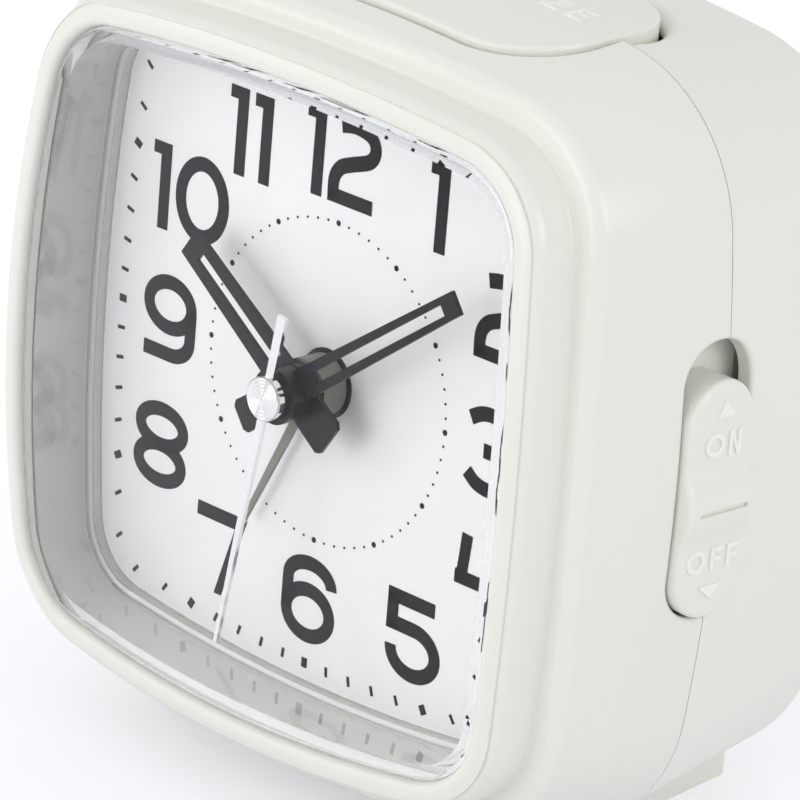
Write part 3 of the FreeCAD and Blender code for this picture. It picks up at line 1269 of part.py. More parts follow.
def alarm_switch():
    """Thumb slider with a wave across its face, and the flange that rides inside the wall."""
    half = SWITCH_SLOT_HALF - SWITCH_CLEARANCE
    bottom = SWITCH_SLOT_BOTTOM + 2 * SWITCH_CLEARANCE
    flange_x1 = SWITCH_FLANGE_X + SWITCH_FLANGE
    thumb = stadium(flange_x1 - 0.2, SWITCH_FACE_X + SWITCH_RIDGE + 1, SWITCH_Y, half, bottom, SWITCH_TOP)
    span = SWITCH_RIDGE_SPAN
    ridge = SWITCH_FACE_X + SWITCH_RIDGE
    quarter = (SWITCH_FACE_X + ridge) / 2
    points = [(SWITCH_FACE_X, bottom - 1), (SWITCH_FACE_X, SWITCH_RIDGE_Z - span),
              (quarter, SWITCH_RIDGE_Z - span / 2), (ridge, SWITCH_RIDGE_Z),
              (quarter, SWITCH_RIDGE_Z + span / 2), (SWITCH_FACE_X, SWITCH_RIDGE_Z + span),
              (SWITCH_FACE_X, SWITCH_TOP + 1)]
    places = [V(x, SWITCH_Y - half - 1, z) for x, z in points]
    sag = 0.12 * SWITCH_RIDGE
    edges = [Part.LineSegment(places[0], places[1]).toShape(),
             Part.Arc(places[1], V(SWITCH_FACE_X + sag, places[0].y, SWITCH_RIDGE_Z - 0.75 * span),
                      places[2]).toShape(),
             Part.Arc(places[2], places[3] + V(-sag, 0, -span / 4), places[3]).toShape(),
             Part.Arc(places[3], places[3] + V(-sag, 0, span / 4), places[4]).toShape(),
             Part.Arc(places[4], V(SWITCH_FACE_X + sag, places[0].y, SWITCH_RIDGE_Z + 0.75 * span),
                      places[5]).toShape(),
             Part.LineSegment(places[5], places[6]).toShape()]
    inner = [V(SWITCH_FLANGE_X, places[0].y, SWITCH_TOP + 1), V(SWITCH_FLANGE_X, places[0].y, bottom - 1)]
    corners = [places[6]] + inner + [places[0]]
    edges += [Part.LineSegment(a, b).toShape() for a, b in zip(corners, corners[1:])]
    wave = Part.Face(Part.Wire(edges)).extrude(V(0, 2 * half + 2, 0))
    groove = block(ridge - 0.35, ridge + 1, SWITCH_Y - 3.6, SWITCH_Y + 3.6,
                   SWITCH_RIDGE_Z - 0.25, SWITCH_RIDGE_Z + 0.25)
    flange = block(SWITCH_FLANGE_X, flange_x1, SWITCH_Y - SWITCH_SLOT_HALF - SWITCH_FLANGE_OVERLAP,
                   SWITCH_Y + SWITCH_SLOT_HALF + SWITCH_FLANGE_OVERLAP,
                   SWITCH_SLOT_BOTTOM - SWITCH_TRAVEL - SWITCH_FLANGE_OVERLAP,
                   SWITCH_SLOT_TOP + SWITCH_FLANGE_OVERLAP)
    thumb = thumb.common(wave)
    rim = [edge for edge in thumb.Edges if middle_of(edge).x > SWITCH_FACE_X - 0.05
           and abs(off_middle_line(middle_of(edge), SWITCH_Y, half, bottom, SWITCH_TOP) - half) < 0.02]
    return fused([thumb.makeFillet(SWITCH_ROUND, rim).cut(groove), flange])


def switch_bracket():
    """Channel behind the switch flange, with two lugs on the dial carrier."""
    half = SWITCH_SLOT_HALF + SWITCH_FLANGE_OVERLAP + BRACKET_GAP
    back_x = SWITCH_FLANGE_X - BRACKET_GAP
    z0 = SWITCH_SLOT_BOTTOM - SWITCH_TRAVEL - SWITCH_FLANGE_OVERLAP - BRACKET_MARGIN
    z1 = SWITCH_SLOT_TOP + SWITCH_TRAVEL + SWITCH_FLANGE_OVERLAP + BRACKET_MARGIN
    outer_y = half + BRACKET_WALL
    body = block(back_x - BRACKET_WALL, SWITCH_FLANGE_X + SWITCH_FLANGE - 0.2,
                 SWITCH_Y - outer_y, SWITCH_Y + outer_y, z0, z1)
    channel = block(back_x, SWITCH_FLANGE_X + 5, SWITCH_Y - half, SWITCH_Y + half, z0 - 1, z1 + 1)
    lugs = [block(back_x - LUG_START, back_x - LUG_END, CARRIER_BACK_Y, SWITCH_Y - half, z, z + LUG_HEIGHT)
            for z in (LUG_LOW_Z, LUG_HIGH_Z)]
    return fused([body.cut(channel)] + lugs)


def switch_contact():
    """Springy brass strip on the inner face of the bracket."""
    face_x = SWITCH_FLANGE_X - BRACKET_GAP - BRACKET_WALL
    strip = block(face_x - SWITCH_STRIP, face_x, SWITCH_Y - SWITCH_STRIP_HALF, SWITCH_Y + SWITCH_STRIP_HALF,
                  SWITCH_STRIP_LOW_Z, SWITCH_STRIP_HIGH_Z)
    tab = block(face_x - SWITCH_TAB, face_x - 0.1, SWITCH_Y - SWITCH_TAB_HALF, SWITCH_Y + SWITCH_TAB_HALF,
                SWITCH_STRIP_LOW_Z, SWITCH_STRIP_LOW_Z + SWITCH_STRIP)
    return fused([strip, tab])


# ---- export -----------------------------------------------------------------------------------------

NODES = {
    "front_housing": front_housing, "rear_housing": rear_housing, "lens_cup": lens_cup,
    "front_feet": front_feet, "rear_feet": rear_feet,
    "dial_plate": dial_plate, "dial_carrier": dial_carrier,
    "case_screws": case_screws, "carrier_screws": carrier_screws,
    "hour_hand": hour_hand, "minute_hand": minute_hand,
    "second_hand": second_hand, "alarm_hand": alarm_hand,
    "movement_front": movement_front, "movement_back": movement_back,
    "alarm_wheel": alarm_wheel, "hour_wheel": hour_wheel, "cannon_pinion": cannon_pinion,
    "motion_wheel": motion_wheel, "centre_wheel": centre_wheel, "third_wheel": third_wheel,
    "second_wheel": second_wheel, "intermediate_wheel": intermediate_wheel, "rotor": rotor,
    "stator": stator, "motor_coil": motor_coil, "circuit_board": circuit_board,
    "quartz_crystal": quartz_crystal, "clock_chip": clock_chip,
    "time_set_shaft": time_set_shaft, "time_set_knob": lambda: set_knob(TIME_SET_AXIS),
    "alarm_set_shaft": alarm_set_shaft, "alarm_set_knob": lambda: set_knob(ALARM_SET_AXIS),
    "battery_cell": battery_cell, "battery_contact_plus": battery_contact_plus,
    "battery_contact_minus": battery_contact_minus, "battery_door": battery_door,
    "buzzer": buzzer, "snooze_button": snooze_button, "snooze_spring": snooze_spring,
    "snooze_contact": snooze_contact, "alarm_switch": alarm_switch,
    "switch_bracket": switch_bracket, "switch_contact": switch_contact,
}


def standing(shape, shift):
    """Lean a piece back and put it down on the floor, over the origin."""
    placed = shape.copy()
    placed.rotate(V(0, 0, 0), V(1, 0, 0), -LEAN)
    placed.translate(shift)
    return placed


def main():
    os.makedirs("parts", exist_ok=True)
    pieces = {name: make() for name, make in NODES.items()}
    leaned = Part.makeCompound([standing(piece, V(0, 0, 0)) for piece in pieces.values()])
    box = leaned.optimalBoundingBox(False)
    shift = V(-(box.XMin + box.XMax) / 2, -(box.YMin + box.YMax) / 2, -box.ZMin)
    for name, piece in pieces.items():
        standing(piece, shift).exportStep("parts/" + name + ".step")
        solids = len(piece.Solids)
        print("%-22s solids %d  volume %9.2f  valid %s" % (name, solids, piece.Volume, piece.isValid()))
    print("dial centre stands at", [round(value, 4) for value in shift])
    print("size", [round(value, 3) for value in (box.XLength, box.YLength, box.ZLength)])


main()
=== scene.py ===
# %% [markdown]
# # A square quartz alarm clock
# This lesson dresses a small alarm clock: a white moulded case with a bowed square front, a deep
# clear window, a silver dial with printed numerals, four hands, a snooze bar and an alarm slider.
# The solids come from CAD and never move here. We give each of them the finish of its real
# material, and add what is too fine for the solids: ink, raised letters and wire.

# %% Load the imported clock
import math

import bmesh
import bpy
from mathutils import Matrix, Vector
from mathutils.bvhtree import BVHTree


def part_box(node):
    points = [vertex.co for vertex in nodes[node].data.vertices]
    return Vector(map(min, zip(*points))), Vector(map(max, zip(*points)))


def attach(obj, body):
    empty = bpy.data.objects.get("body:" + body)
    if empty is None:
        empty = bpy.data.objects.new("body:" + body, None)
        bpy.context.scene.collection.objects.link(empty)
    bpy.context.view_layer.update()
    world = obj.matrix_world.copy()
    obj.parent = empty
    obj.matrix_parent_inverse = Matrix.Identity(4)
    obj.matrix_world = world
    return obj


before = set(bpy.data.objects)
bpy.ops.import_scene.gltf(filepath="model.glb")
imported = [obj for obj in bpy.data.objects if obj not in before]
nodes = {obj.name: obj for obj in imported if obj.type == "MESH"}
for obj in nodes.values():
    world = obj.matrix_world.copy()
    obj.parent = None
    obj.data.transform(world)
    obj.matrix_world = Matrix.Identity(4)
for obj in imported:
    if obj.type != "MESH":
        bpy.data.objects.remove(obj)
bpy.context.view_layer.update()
print("pieces from CAD:", len(nodes))

# %% [markdown]
# ## Standing on the dial
# The clock leans back a little on its feet, so up and down on its face are not up and down in the
# room. Everything on the face is easier to place from the dial's centre: x to the right, y to the
# back, z up along the dial. One matrix takes such a point to the room.

# %% The clock's own axes
MM = 0.001
LEAN = math.radians(5.8)
DIAL_THICKNESS = 0.5 * MM

low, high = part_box("dial_plate")
tilt = Matrix.Rotation(-LEAN, 4, "X")
dial_centre = (low + high) / 2 - tilt @ Vector((0, DIAL_THICKNESS / 2, 0))
to_room = Matrix.Translation(dial_centre) @ tilt
print("dial centre", [round(value / MM, 2) for value in dial_centre], "mm")


def on_clock(x, y, z):
    """A point given in millimetres on the clock's own axes, in the room."""
    return to_room @ Vector((x * MM, y * MM, z * MM))


# %% [markdown]
# ## The camera
# The clock is seen from its right, well above, with a long lens, as a product is usually shot: a
# long lens keeps the case's edges nearly parallel. The camera looks at a point beside the dial and
# is rolled by a third of a degree.

# %% Place the camera
CAMERA_FROM_DIAL = Vector((429.213, -411.396, 261.100)) * MM
AIM_FROM_DIAL = Vector((5.862, 4.891, -1.696)) * MM
CAMERA_ROLL = math.radians(0.3374)
FIELD_OF_VIEW = math.radians(7.5418)

camera_data = bpy.data.cameras.new("camera")
camera_data.sensor_fit = "HORIZONTAL"
camera_data.angle = FIELD_OF_VIEW
camera = bpy.data.objects.new("camera", camera_data)
look = (AIM_FROM_DIAL - CAMERA_FROM_DIAL).to_track_quat("-Z", "Y").to_matrix().to_4x4()
roll = Matrix.Rotation(CAMERA_ROLL, 4, "Z")
camera.matrix_world = Matrix.Translation(dial_centre + CAMERA_FROM_DIAL) @ look @ roll
bpy.context.scene.collection.objects.link(camera)
bpy.context.scene.camera = camera
print("lens", round(camera_data.lens, 1), "mm")

# %% [markdown]
# ## Two helpers for every node tree
# Colours are written as sRGB hex, the way a colour picker shows them, and Blender's shaders want
# linear values. Shader trees and geometry trees are both built node by node, so one small function
# adds a node, sets its properties, and fills or links its inputs.

# %% Colour and node helpers


def srgb(code):
    """Linear red, green, blue and alpha for a colour such as '#e6e6e2'."""
    channels = [int(code[i:i + 2], 16) / 255 for i in (1, 3, 5)]
    linear = [c / 12.92 if c <= 0.04045 else ((c + 0.055) / 1.055) ** 2.4 for c in channels]
    return (*linear, 1.0)


def add_node(tree, kind, inputs=None, **settings):
    """Adds a node with its settings; each input gets a value, or a link from another socket."""
    node = tree.nodes.new(kind)
    for name, value in settings.items():
        setattr(node, name, value)
    for key, value in (inputs or {}).items():
        socket = node.inputs[key]
        if isinstance(value, bpy.types.NodeSocket):
            tree.links.new(value, socket)
        else:
            socket.default_value = value
    return node


def per_mm(size):
    """The scale of a pattern whose features are this many millimetres wide."""
    return 1 / (size * MM)


# %% [markdown]
# ## How a moulded plastic looks
# Plastic parts leave the mould with a skin that is never perfectly even. The gloss drifts a little
# over centimetres, a faint orange peel breaks up reflections, and handling leaves hair-fine rubs.
# One recipe serves every plastic here. Only colour, gloss and the width and depth of the skin
# change. The plain values sit on the shader's own sockets.

# %% A recipe for moulded plastic
PLASTIC_IOR = 1.5
DRIFT_WIDTH = 24            # mm, as are all widths and depths here
RUB_LENGTH = 9.0
RUB_STRETCH = 0.06          # how much narrower than long a rub is
RUB_TURN = (0.5, 0.3, 0.7)


def moulded(name, colour, shade, gloss, peel, depth, rubs=0.03):
    """Plastic that drifts between two close colours, with orange peel this wide and deep (mm)."""
    material = bpy.data.materials.new(name)
    material.use_nodes = True
    tree = material.node_tree
    shader = tree.nodes["Principled BSDF"]
    shader.inputs["IOR"].default_value = PLASTIC_IOR
    place = add_node(tree, "ShaderNodeTexCoord").outputs["Object"]
    drift = add_node(tree, "ShaderNodeTexNoise",
                     {"Vector": place, "Scale": per_mm(DRIFT_WIDTH), "Detail": 2.0})
    colours = add_node(tree, "ShaderNodeMix",
                       {0: drift.outputs["Fac"], 6: srgb(shade), 7: srgb(colour)},
                       data_type="RGBA")
    stretch = add_node(tree, "ShaderNodeMapping",
                       {"Vector": place, "Rotation": RUB_TURN, "Scale": (1, RUB_STRETCH, 1)})
    rub = add_node(tree, "ShaderNodeTexNoise",
                   {"Vector": stretch.outputs["Vector"], "Scale": per_mm(RUB_LENGTH * RUB_STRETCH),
                    "Detail": 3.0, "Roughness": 0.7})
    rough = add_node(tree, "ShaderNodeMapRange",
                     {"Value": rub.outputs["Fac"], "From Min": 0.45, "From Max": 0.8,
                      "To Min": gloss, "To Max": gloss + rubs})
    skin = add_node(tree, "ShaderNodeTexNoise",
                    {"Vector": place, "Scale": per_mm(peel), "Detail": 2.0})
    bump = add_node(tree, "ShaderNodeBump",
                    {"Height": skin.outputs["Fac"], "Distance": depth * MM, "Strength": 1.0})
    tree.links.new(colours.outputs[2], shader.inputs["Base Color"])
    tree.links.new(rough.outputs["Result"], shader.inputs["Roughness"])
    tree.links.new(bump.outputs["Normal"], shader.inputs["Normal"])
    return material


# %% [markdown]
# ## How a metal looks
# A metal's colour is the colour of its mirror, so it is all reflection. What tells chrome from
# brass wire or a stamped wheel is how its surface was left: polished, drawn, turned or blasted.
# The recipe stretches a fine noise along the working direction and uses it for both roughness and
# a shallow bump. The index of refraction stays at its default.

# %% A recipe for worked metal
TARNISH_WIDTH = 5
ROUGH_SPREAD = (0.8, 1.25)


def worked_metal(name, colour, tarnish, rough, grain, depth, along=(1, 1, 1)):
    """Metal with marks of this width and depth (mm), drawn out along the smaller scales."""
    material = bpy.data.materials.new(name)
    material.use_nodes = True
    tree = material.node_tree
    shader = tree.nodes["Principled BSDF"]
    shader.inputs["Metallic"].default_value = 1.0
    place = add_node(tree, "ShaderNodeTexCoord").outputs["Object"]
    stretch = add_node(tree, "ShaderNodeMapping", {"Vector": place, "Scale": along})
    marks = add_node(tree, "ShaderNodeTexNoise",
                     {"Vector": stretch.outputs["Vector"], "Scale": per_mm(grain), "Detail": 3.0})
    drift = add_node(tree, "ShaderNodeTexNoise",
                     {"Vector": place, "Scale": per_mm(TARNISH_WIDTH), "Detail": 2.0})
    colours = add_node(tree, "ShaderNodeMix",
                       {0: drift.outputs["Fac"], 6: srgb(tarnish), 7: srgb(colour)},
                       data_type="RGBA")
    roughness = add_node(tree, "ShaderNodeMapRange",
                         {"Value": marks.outputs["Fac"], "From Min": 0.3, "From Max": 0.7,
                          "To Min": rough * ROUGH_SPREAD[0], "To Max": rough * ROUGH_SPREAD[1]})
    bump = add_node(tree, "ShaderNodeBump",
                    {"Height": marks.outputs["Fac"], "Distance": depth * MM, "Strength": 1.0})
    tree.links.new(colours.outputs[2], shader.inputs["Base Color"])
    tree.links.new(roughness.outputs["Result"], shader.inputs["Roughness"])
    tree.links.new(bump.outputs["Normal"], shader.inputs["Normal"])
    return material


def quieten(material, level):
    """Weakens a material's reflections, for soft prints and lacquers (0.5 is a plain plastic)."""
    material.node_tree.nodes["Principled BSDF"].inputs["Specular IOR Level"].default_value = level


def dress(material, *names):
    """Gives CAD nodes a material in their own material slots."""
    for name in names:
        slots = nodes[name].material_slots
        for slot in slots:
            slot.material = material
        if not slots:
            nodes[name].data.materials.append(material)
    print(material.name, "on", ", ".join(names))


# %% [markdown]
# ## The white case
# The case is high-gloss ABS, injection moulded in a polished tool. To the eye it is a warm white
# with soft, clear highlights along every rounded edge. The same white is used for the snooze bar,
# the slider and the feet, so the seams and gaps draw the only dark lines.

# %% White ABS
white_abs = moulded("gloss_white_abs", "#ecede4", "#e9eae1", gloss=0.28, peel=1.6, depth=0.0012)
dress(white_abs, "front_housing", "rear_housing", "front_feet", "rear_feet", "snooze_button",
      "alarm_switch", "battery_door")

# %% [markdown]
# ## The window
# The window is one cup of clear polystyrene. Its domed front lies just behind the lip, and its side
# walls run back to the dial, where they catch mirror images of the minute marks. Glass-like shaders
# block lamp light in a path tracer, so for shadow rays the window turns into a plain Transparent
# shader: the dial behind it is lit as it is in real life. Product photographers turn a polarising
# filter until most of a window's reflections go out, and a dark Specular Tint does the same here.
# Only the pane is filtered. The side walls and the rim keep their full mirror: where the surface
# doesn't face along the clock's own axis, the tint goes back to white. Light that is caught inside a
# wall bounces many times before it leaves. The renderer gives such a ray up and paints it black, so
# after two mirror turns the plastic lets it go straight on.

# %% Clear polystyrene
POLYSTYRENE_IOR = 1.59
POLARISED = "#303336"
FACES_FORWARD = 0.95
MIRROR_TURNS = 1.5          # more than one turn: the depth counts in whole turns
FLOW_WIDTH = 14
SMEAR = 0.02
RIPPLE_DEPTH = 0.004

clear = bpy.data.materials.new("clear_polystyrene")
clear.use_nodes = True
tree = clear.node_tree
shader = tree.nodes["Principled BSDF"]
shader.inputs["Base Color"].default_value = srgb("#fefefe")
shader.inputs["Transmission Weight"].default_value = 1.0
shader.inputs["IOR"].default_value = POLYSTYRENE_IOR
place = add_node(tree, "ShaderNodeTexCoord").outputs["Object"]
flow = add_node(tree, "ShaderNodeTexNoise", {"Vector": place, "Scale": per_mm(FLOW_WIDTH),
                                              "Detail": 1.0})
smear = add_node(tree, "ShaderNodeMapRange",
                 {"Value": flow.outputs["Fac"], "From Min": 0.5, "From Max": 0.8,
                  "To Min": 0.0, "To Max": SMEAR})
ripple = add_node(tree, "ShaderNodeBump",
                  {"Height": flow.outputs["Fac"], "Distance": RIPPLE_DEPTH * MM, "Strength": 1.0})
facing = add_node(tree, "ShaderNodeNewGeometry").outputs["Normal"]
backwards = to_room.to_3x3() @ Vector((0, 1, 0))
along_axis = add_node(tree, "ShaderNodeVectorMath", {0: facing, 1: backwards},
                      operation="DOT_PRODUCT")
either_way = add_node(tree, "ShaderNodeMath", {0: along_axis.outputs["Value"]},
                      operation="ABSOLUTE")
in_wall = add_node(tree, "ShaderNodeMath", {0: either_way.outputs[0], 1: FACES_FORWARD},
                   operation="LESS_THAN")
tint = add_node(tree, "ShaderNodeMix",
                {0: in_wall.outputs[0], 6: srgb(POLARISED), 7: srgb("#ffffff")}, data_type="RGBA")
tree.links.new(tint.outputs[2], shader.inputs["Specular Tint"])
tree.links.new(smear.outputs["Result"], shader.inputs["Roughness"])
tree.links.new(ripple.outputs["Normal"], shader.inputs["Normal"])
path = add_node(tree, "ShaderNodeLightPath").outputs
see_through = add_node(tree, "ShaderNodeBsdfTransparent", {"Color": srgb("#fefefe")})
caught = add_node(tree, "ShaderNodeMath", {0: path["Glossy Depth"], 1: MIRROR_TURNS},
                  operation="GREATER_THAN")
set_free = add_node(tree, "ShaderNodeMixShader",
                    {0: caught.outputs[0], 1: shader.outputs["BSDF"], 2: see_through.outputs["BSDF"]})
both = add_node(tree, "ShaderNodeMixShader",
                {0: path["Is Shadow Ray"], 1: set_free.outputs[0], 2: see_through.outputs["BSDF"]})
tree.links.new(both.outputs["Shader"], tree.nodes["Material Output"].inputs["Surface"])
dress(clear, "lens_cup")

# %% [markdown]
# ## The dial
# The dial is thin aluminium, bead blasted and lacquered. Blasting leaves thousands of tiny pits, so
# the metal turns silver white and scatters light almost like paper, with a trace of sparkle. Real
# grit is near 0.1 mm, which is too fine to show at this distance, so the pits are drawn at 0.22 mm.

# %% Blasted aluminium
BARE_METAL = 0.35           # the rest of the light comes back from the milky lacquer
blasted = worked_metal("bead_blasted_aluminium", "#f7f8f8", "#f1f3f3",
                       rough=0.62, grain=0.22, depth=0.012)
blasted.node_tree.nodes["Principled BSDF"].inputs["Metallic"].default_value = BARE_METAL
dress(blasted, "dial_plate")

# %% [markdown]
# ## The hands
# Hour and minute hands are stamped steel in black stoving lacquer, with only a weak shine. The
# second hand is polished and chromed. The slim alarm hand is lacquered in a flat olive grey so that
# it stays quiet behind the others.

# %% Lacquers and chrome
black_lacquer = moulded("black_stoving_lacquer", "#17191a", "#1c1f1f",
                        gloss=0.3, peel=0.7, depth=0.002)
quieten(black_lacquer, 0.25)
dress(black_lacquer, "hour_hand", "minute_hand")
chrome = worked_metal("polished_chrome", "#f1f2f1", "#e6e7e6", rough=0.1, grain=0.3, depth=0.0006,
                      along=(1, 1, 0.2))
dress(chrome, "second_hand")
olive_lacquer = moulded("olive_grey_lacquer", "#81877c", "#7b8176",
                        gloss=0.4, peel=0.5, depth=0.002)
dress(olive_lacquer, "alarm_hand")

# %% [markdown]
# ## Inside: plastics
# Behind the dial a pale grey polystyrene plate carries the movement. The movement's own shells are
# black, so that stray light doesn't shine through the tubes of the hands. Its wheels are acetal, an
# oily white plastic that runs without grease. The two knobs at the back are dark grey ABS.

# %% Inner plastics
carrier_plastic = moulded("grey_polystyrene", "#c9cbc9", "#c3c5c3", gloss=0.42, peel=1.0, depth=0.004)
dress(carrier_plastic, "dial_carrier", "switch_bracket")
shell_plastic = moulded("black_polystyrene", "#1c1d1f", "#222325", gloss=0.38, peel=0.8, depth=0.004)
dress(shell_plastic, "movement_front", "movement_back")
acetal = moulded("white_acetal", "#e9e8e0", "#e1e0d7", gloss=0.35, peel=0.6, depth=0.002)
dress(acetal, "alarm_wheel", "hour_wheel", "motion_wheel", "centre_wheel", "third_wheel",
      "intermediate_wheel")
knob_plastic = moulded("grey_abs", "#55585a", "#4f5254", gloss=0.36, peel=0.9, depth=0.004)
dress(knob_plastic, "time_set_knob", "alarm_set_knob")
buzzer_plastic = moulded("black_noryl", "#202122", "#262728", gloss=0.45, peel=0.8, depth=0.004)
dress(buzzer_plastic, "buzzer")

# %% [markdown]
# ## Inside: metals and board
# Turned brass makes the shafts and tubes, nickel-plated spring steel the contacts, zinc-plated
# steel the screws, and silicon steel sheet the stator. The winding is enamelled copper. The
# circuit board is green solder resist over glass cloth, whose weave just shows, and the chip
# under its blob of epoxy is a shiny black.

# %% Inner metals
brass = worked_metal("turned_brass", "#d9bd74", "#cba95e", rough=0.24, grain=0.15, depth=0.002,
                     along=(1, 0.1, 1))
dress(brass, "cannon_pinion", "second_wheel", "time_set_shaft", "alarm_set_shaft")
nickel = worked_metal("nickel_plated_spring_steel", "#cfcdc6", "#c2bfb6", rough=0.22, grain=0.2,
                      depth=0.001, along=(1, 0.15, 1))
dress(nickel, "battery_contact_plus", "battery_contact_minus", "snooze_spring", "snooze_contact",
      "switch_contact", "quartz_crystal")
zinc = worked_metal("zinc_plated_steel", "#c3c6c8", "#b3b6b8", rough=0.3, grain=0.3, depth=0.002)
dress(zinc, "case_screws", "carrier_screws")
silicon_steel = worked_metal("silicon_steel_sheet", "#9a9c9d", "#8b8d8e", rough=0.38, grain=0.25,
                             depth=0.002, along=(0.1, 1, 1))
dress(silicon_steel, "stator")
ferrite = worked_metal("sintered_magnet", "#6c6d70", "#5f6063", rough=0.5, grain=0.2, depth=0.003)
dress(ferrite, "rotor")
copper = worked_metal("enamelled_copper", "#c8763f", "#b5652f", rough=0.25, grain=0.3, depth=0.001)
dress(copper, "motor_coil")
resist = moulded("green_solder_resist", "#2f6b45", "#2a6140", gloss=0.3, peel=0.5, depth=0.006)
dress(resist, "circuit_board")
epoxy = moulded("black_epoxy", "#141415", "#1a1a1b", gloss=0.15, peel=2.0, depth=0.01)
dress(epoxy, "clock_chip")

# %% [markdown]
# ## The battery
# A battery wears a shrink-fit printed film over a steel can, with bare metal at both ends. Here a
# coordinate along the cell picks the band: film over the barrel, steel at the ends. The film is a
# plain slate blue with one pale ring, and belongs to no maker.

# %% Printed battery film
CELL_BARE_END = 2.2
CELL_RING = (5.5, 9.0)

cell_low, cell_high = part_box("battery_cell")
middle = (cell_low.x + cell_high.x) / 2
half_film = (cell_high.x - cell_low.x) / 2 - CELL_BARE_END * MM
print("film over", round(2 * half_film / MM, 1), "mm of the cell")

# %% Band the cell
cell = moulded("printed_battery_film", "#3d5566", "#3a5161", gloss=0.25, peel=1.2, depth=0.003)
tree = cell.node_tree
shader = tree.nodes["Principled BSDF"]
film_colour = shader.inputs["Base Color"].links[0].from_socket
place = add_node(tree, "ShaderNodeTexCoord").outputs["Object"]
along = add_node(tree, "ShaderNodeSeparateXYZ", {"Vector": place}).outputs["X"]
from_end = add_node(tree, "ShaderNodeMath", {0: cell_high.x, 1: along}, operation="SUBTRACT")
past_start = add_node(tree, "ShaderNodeMath", {0: from_end.outputs[0], 1: CELL_RING[0] * MM},
                      operation="GREATER_THAN")
before_end = add_node(tree, "ShaderNodeMath", {0: from_end.outputs[0], 1: CELL_RING[1] * MM},
                      operation="LESS_THAN")
in_ring = add_node(tree, "ShaderNodeMath", {0: past_start.outputs[0], 1: before_end.outputs[0]},
                   operation="MULTIPLY")
ringed = add_node(tree, "ShaderNodeMix",
                  {0: in_ring.outputs[0], 6: film_colour, 7: srgb("#d8dbd9")}, data_type="RGBA")
off_middle = add_node(tree, "ShaderNodeMath", {0: along, 1: middle}, operation="SUBTRACT")
distance = add_node(tree, "ShaderNodeMath", {0: off_middle.outputs[0]}, operation="ABSOLUTE")
bare = add_node(tree, "ShaderNodeMath", {0: distance.outputs[0], 1: half_film},
                operation="GREATER_THAN")
banded = add_node(tree, "ShaderNodeMix",
                  {0: bare.outputs[0], 6: ringed.outputs[2], 7: srgb("#b9bab8")},
                  data_type="RGBA")
tree.links.new(banded.outputs[2], shader.inputs["Base Color"])
tree.links.new(bare.outputs[0], shader.inputs["Metallic"])
dress(cell, "battery_cell")

# %% [markdown]
# ## Strokes
# The numerals, the word on the snooze bar and the marks on the slider are all strokes of one
# width with square ends, like a broad marker makes. So a letter is written as the line that the
# middle of the marker follows, and the code gives it its width. An arc is a run of points on an
# ellipse, and a freehand curve passes smoothly through a few named points.

# %% Lines for a marker to follow
ARC_STEP = 6.0
TOUCHING = 1e-6             # points this near each other are one point


def arc(x, z, half_width, half_height, start, end):
    """Points on an ellipse from one angle to another, in degrees from the right, leftwards."""
    steps = max(2, round(abs(end - start) / ARC_STEP))
    angles = [math.radians(start + (end - start) * i / steps) for i in range(steps + 1)]
    return [(x + half_width * math.cos(a), z + half_height * math.sin(a)) for a in angles]


def through(points, steps=6):
    """A smooth curve through the points."""
    padded = [points[0], *points, points[-1]]
    curve = []
    for before, start, end, after in zip(padded, padded[1:], padded[2:], padded[3:]):
        for i in range(steps):
            t = i / steps
            curve.append(tuple(
                ((2 * q) + (r - p) * t + (2 * p - 5 * q + 4 * r - s) * t ** 2
                 + (3 * q - p - 3 * r + s) * t ** 3) / 2
                for p, q, r, s in zip(before, start, end, after)))
    return [*curve, points[-1]]


def stroke(line, width):
    """Left and right edges of a marker's stroke along the line. A closed line stays closed."""
    closed = math.dist(line[0], line[-1]) < TOUCHING
    points = [Vector(point) for point in (line[:-1] if closed else line)]
    count = len(points)
    left, right = [], []
    for i, point in enumerate(points):
        before = points[i - 1] if i or closed else point
        after = points[(i + 1) % count] if i < count - 1 or closed else point
        ways = [way.normalized() for way in (point - before, after - point) if way.length > 0]
        sides = [Vector((-way.y, way.x)) for way in ways]
        side = sum(sides, Vector((0, 0))).normalized()
        side /= max(0.5, side.dot(sides[0]))
        left.append(tuple(point + side * width / 2))
        right.append(tuple(point - side * width / 2))
    if closed:
        left.append(left[0])
        right.append(right[0])
    return left, right


print("an arc of a quarter turn has", len(arc(0, 0, 1, 1, 0, 90)), "points")

# %% [markdown]
# ## The numerals
# The numerals are a wide, plain letter about 10 mm high with strokes of 1.65 mm. Each one is
# written from its own lower left corner. The 7 has a diagonal that narrows towards its foot, so
# that stroke is given by its two edges.

# %% Write the ten figures
PEN = 1.65
FLAG_PEN = 1.45
HEIGHT = 9.8

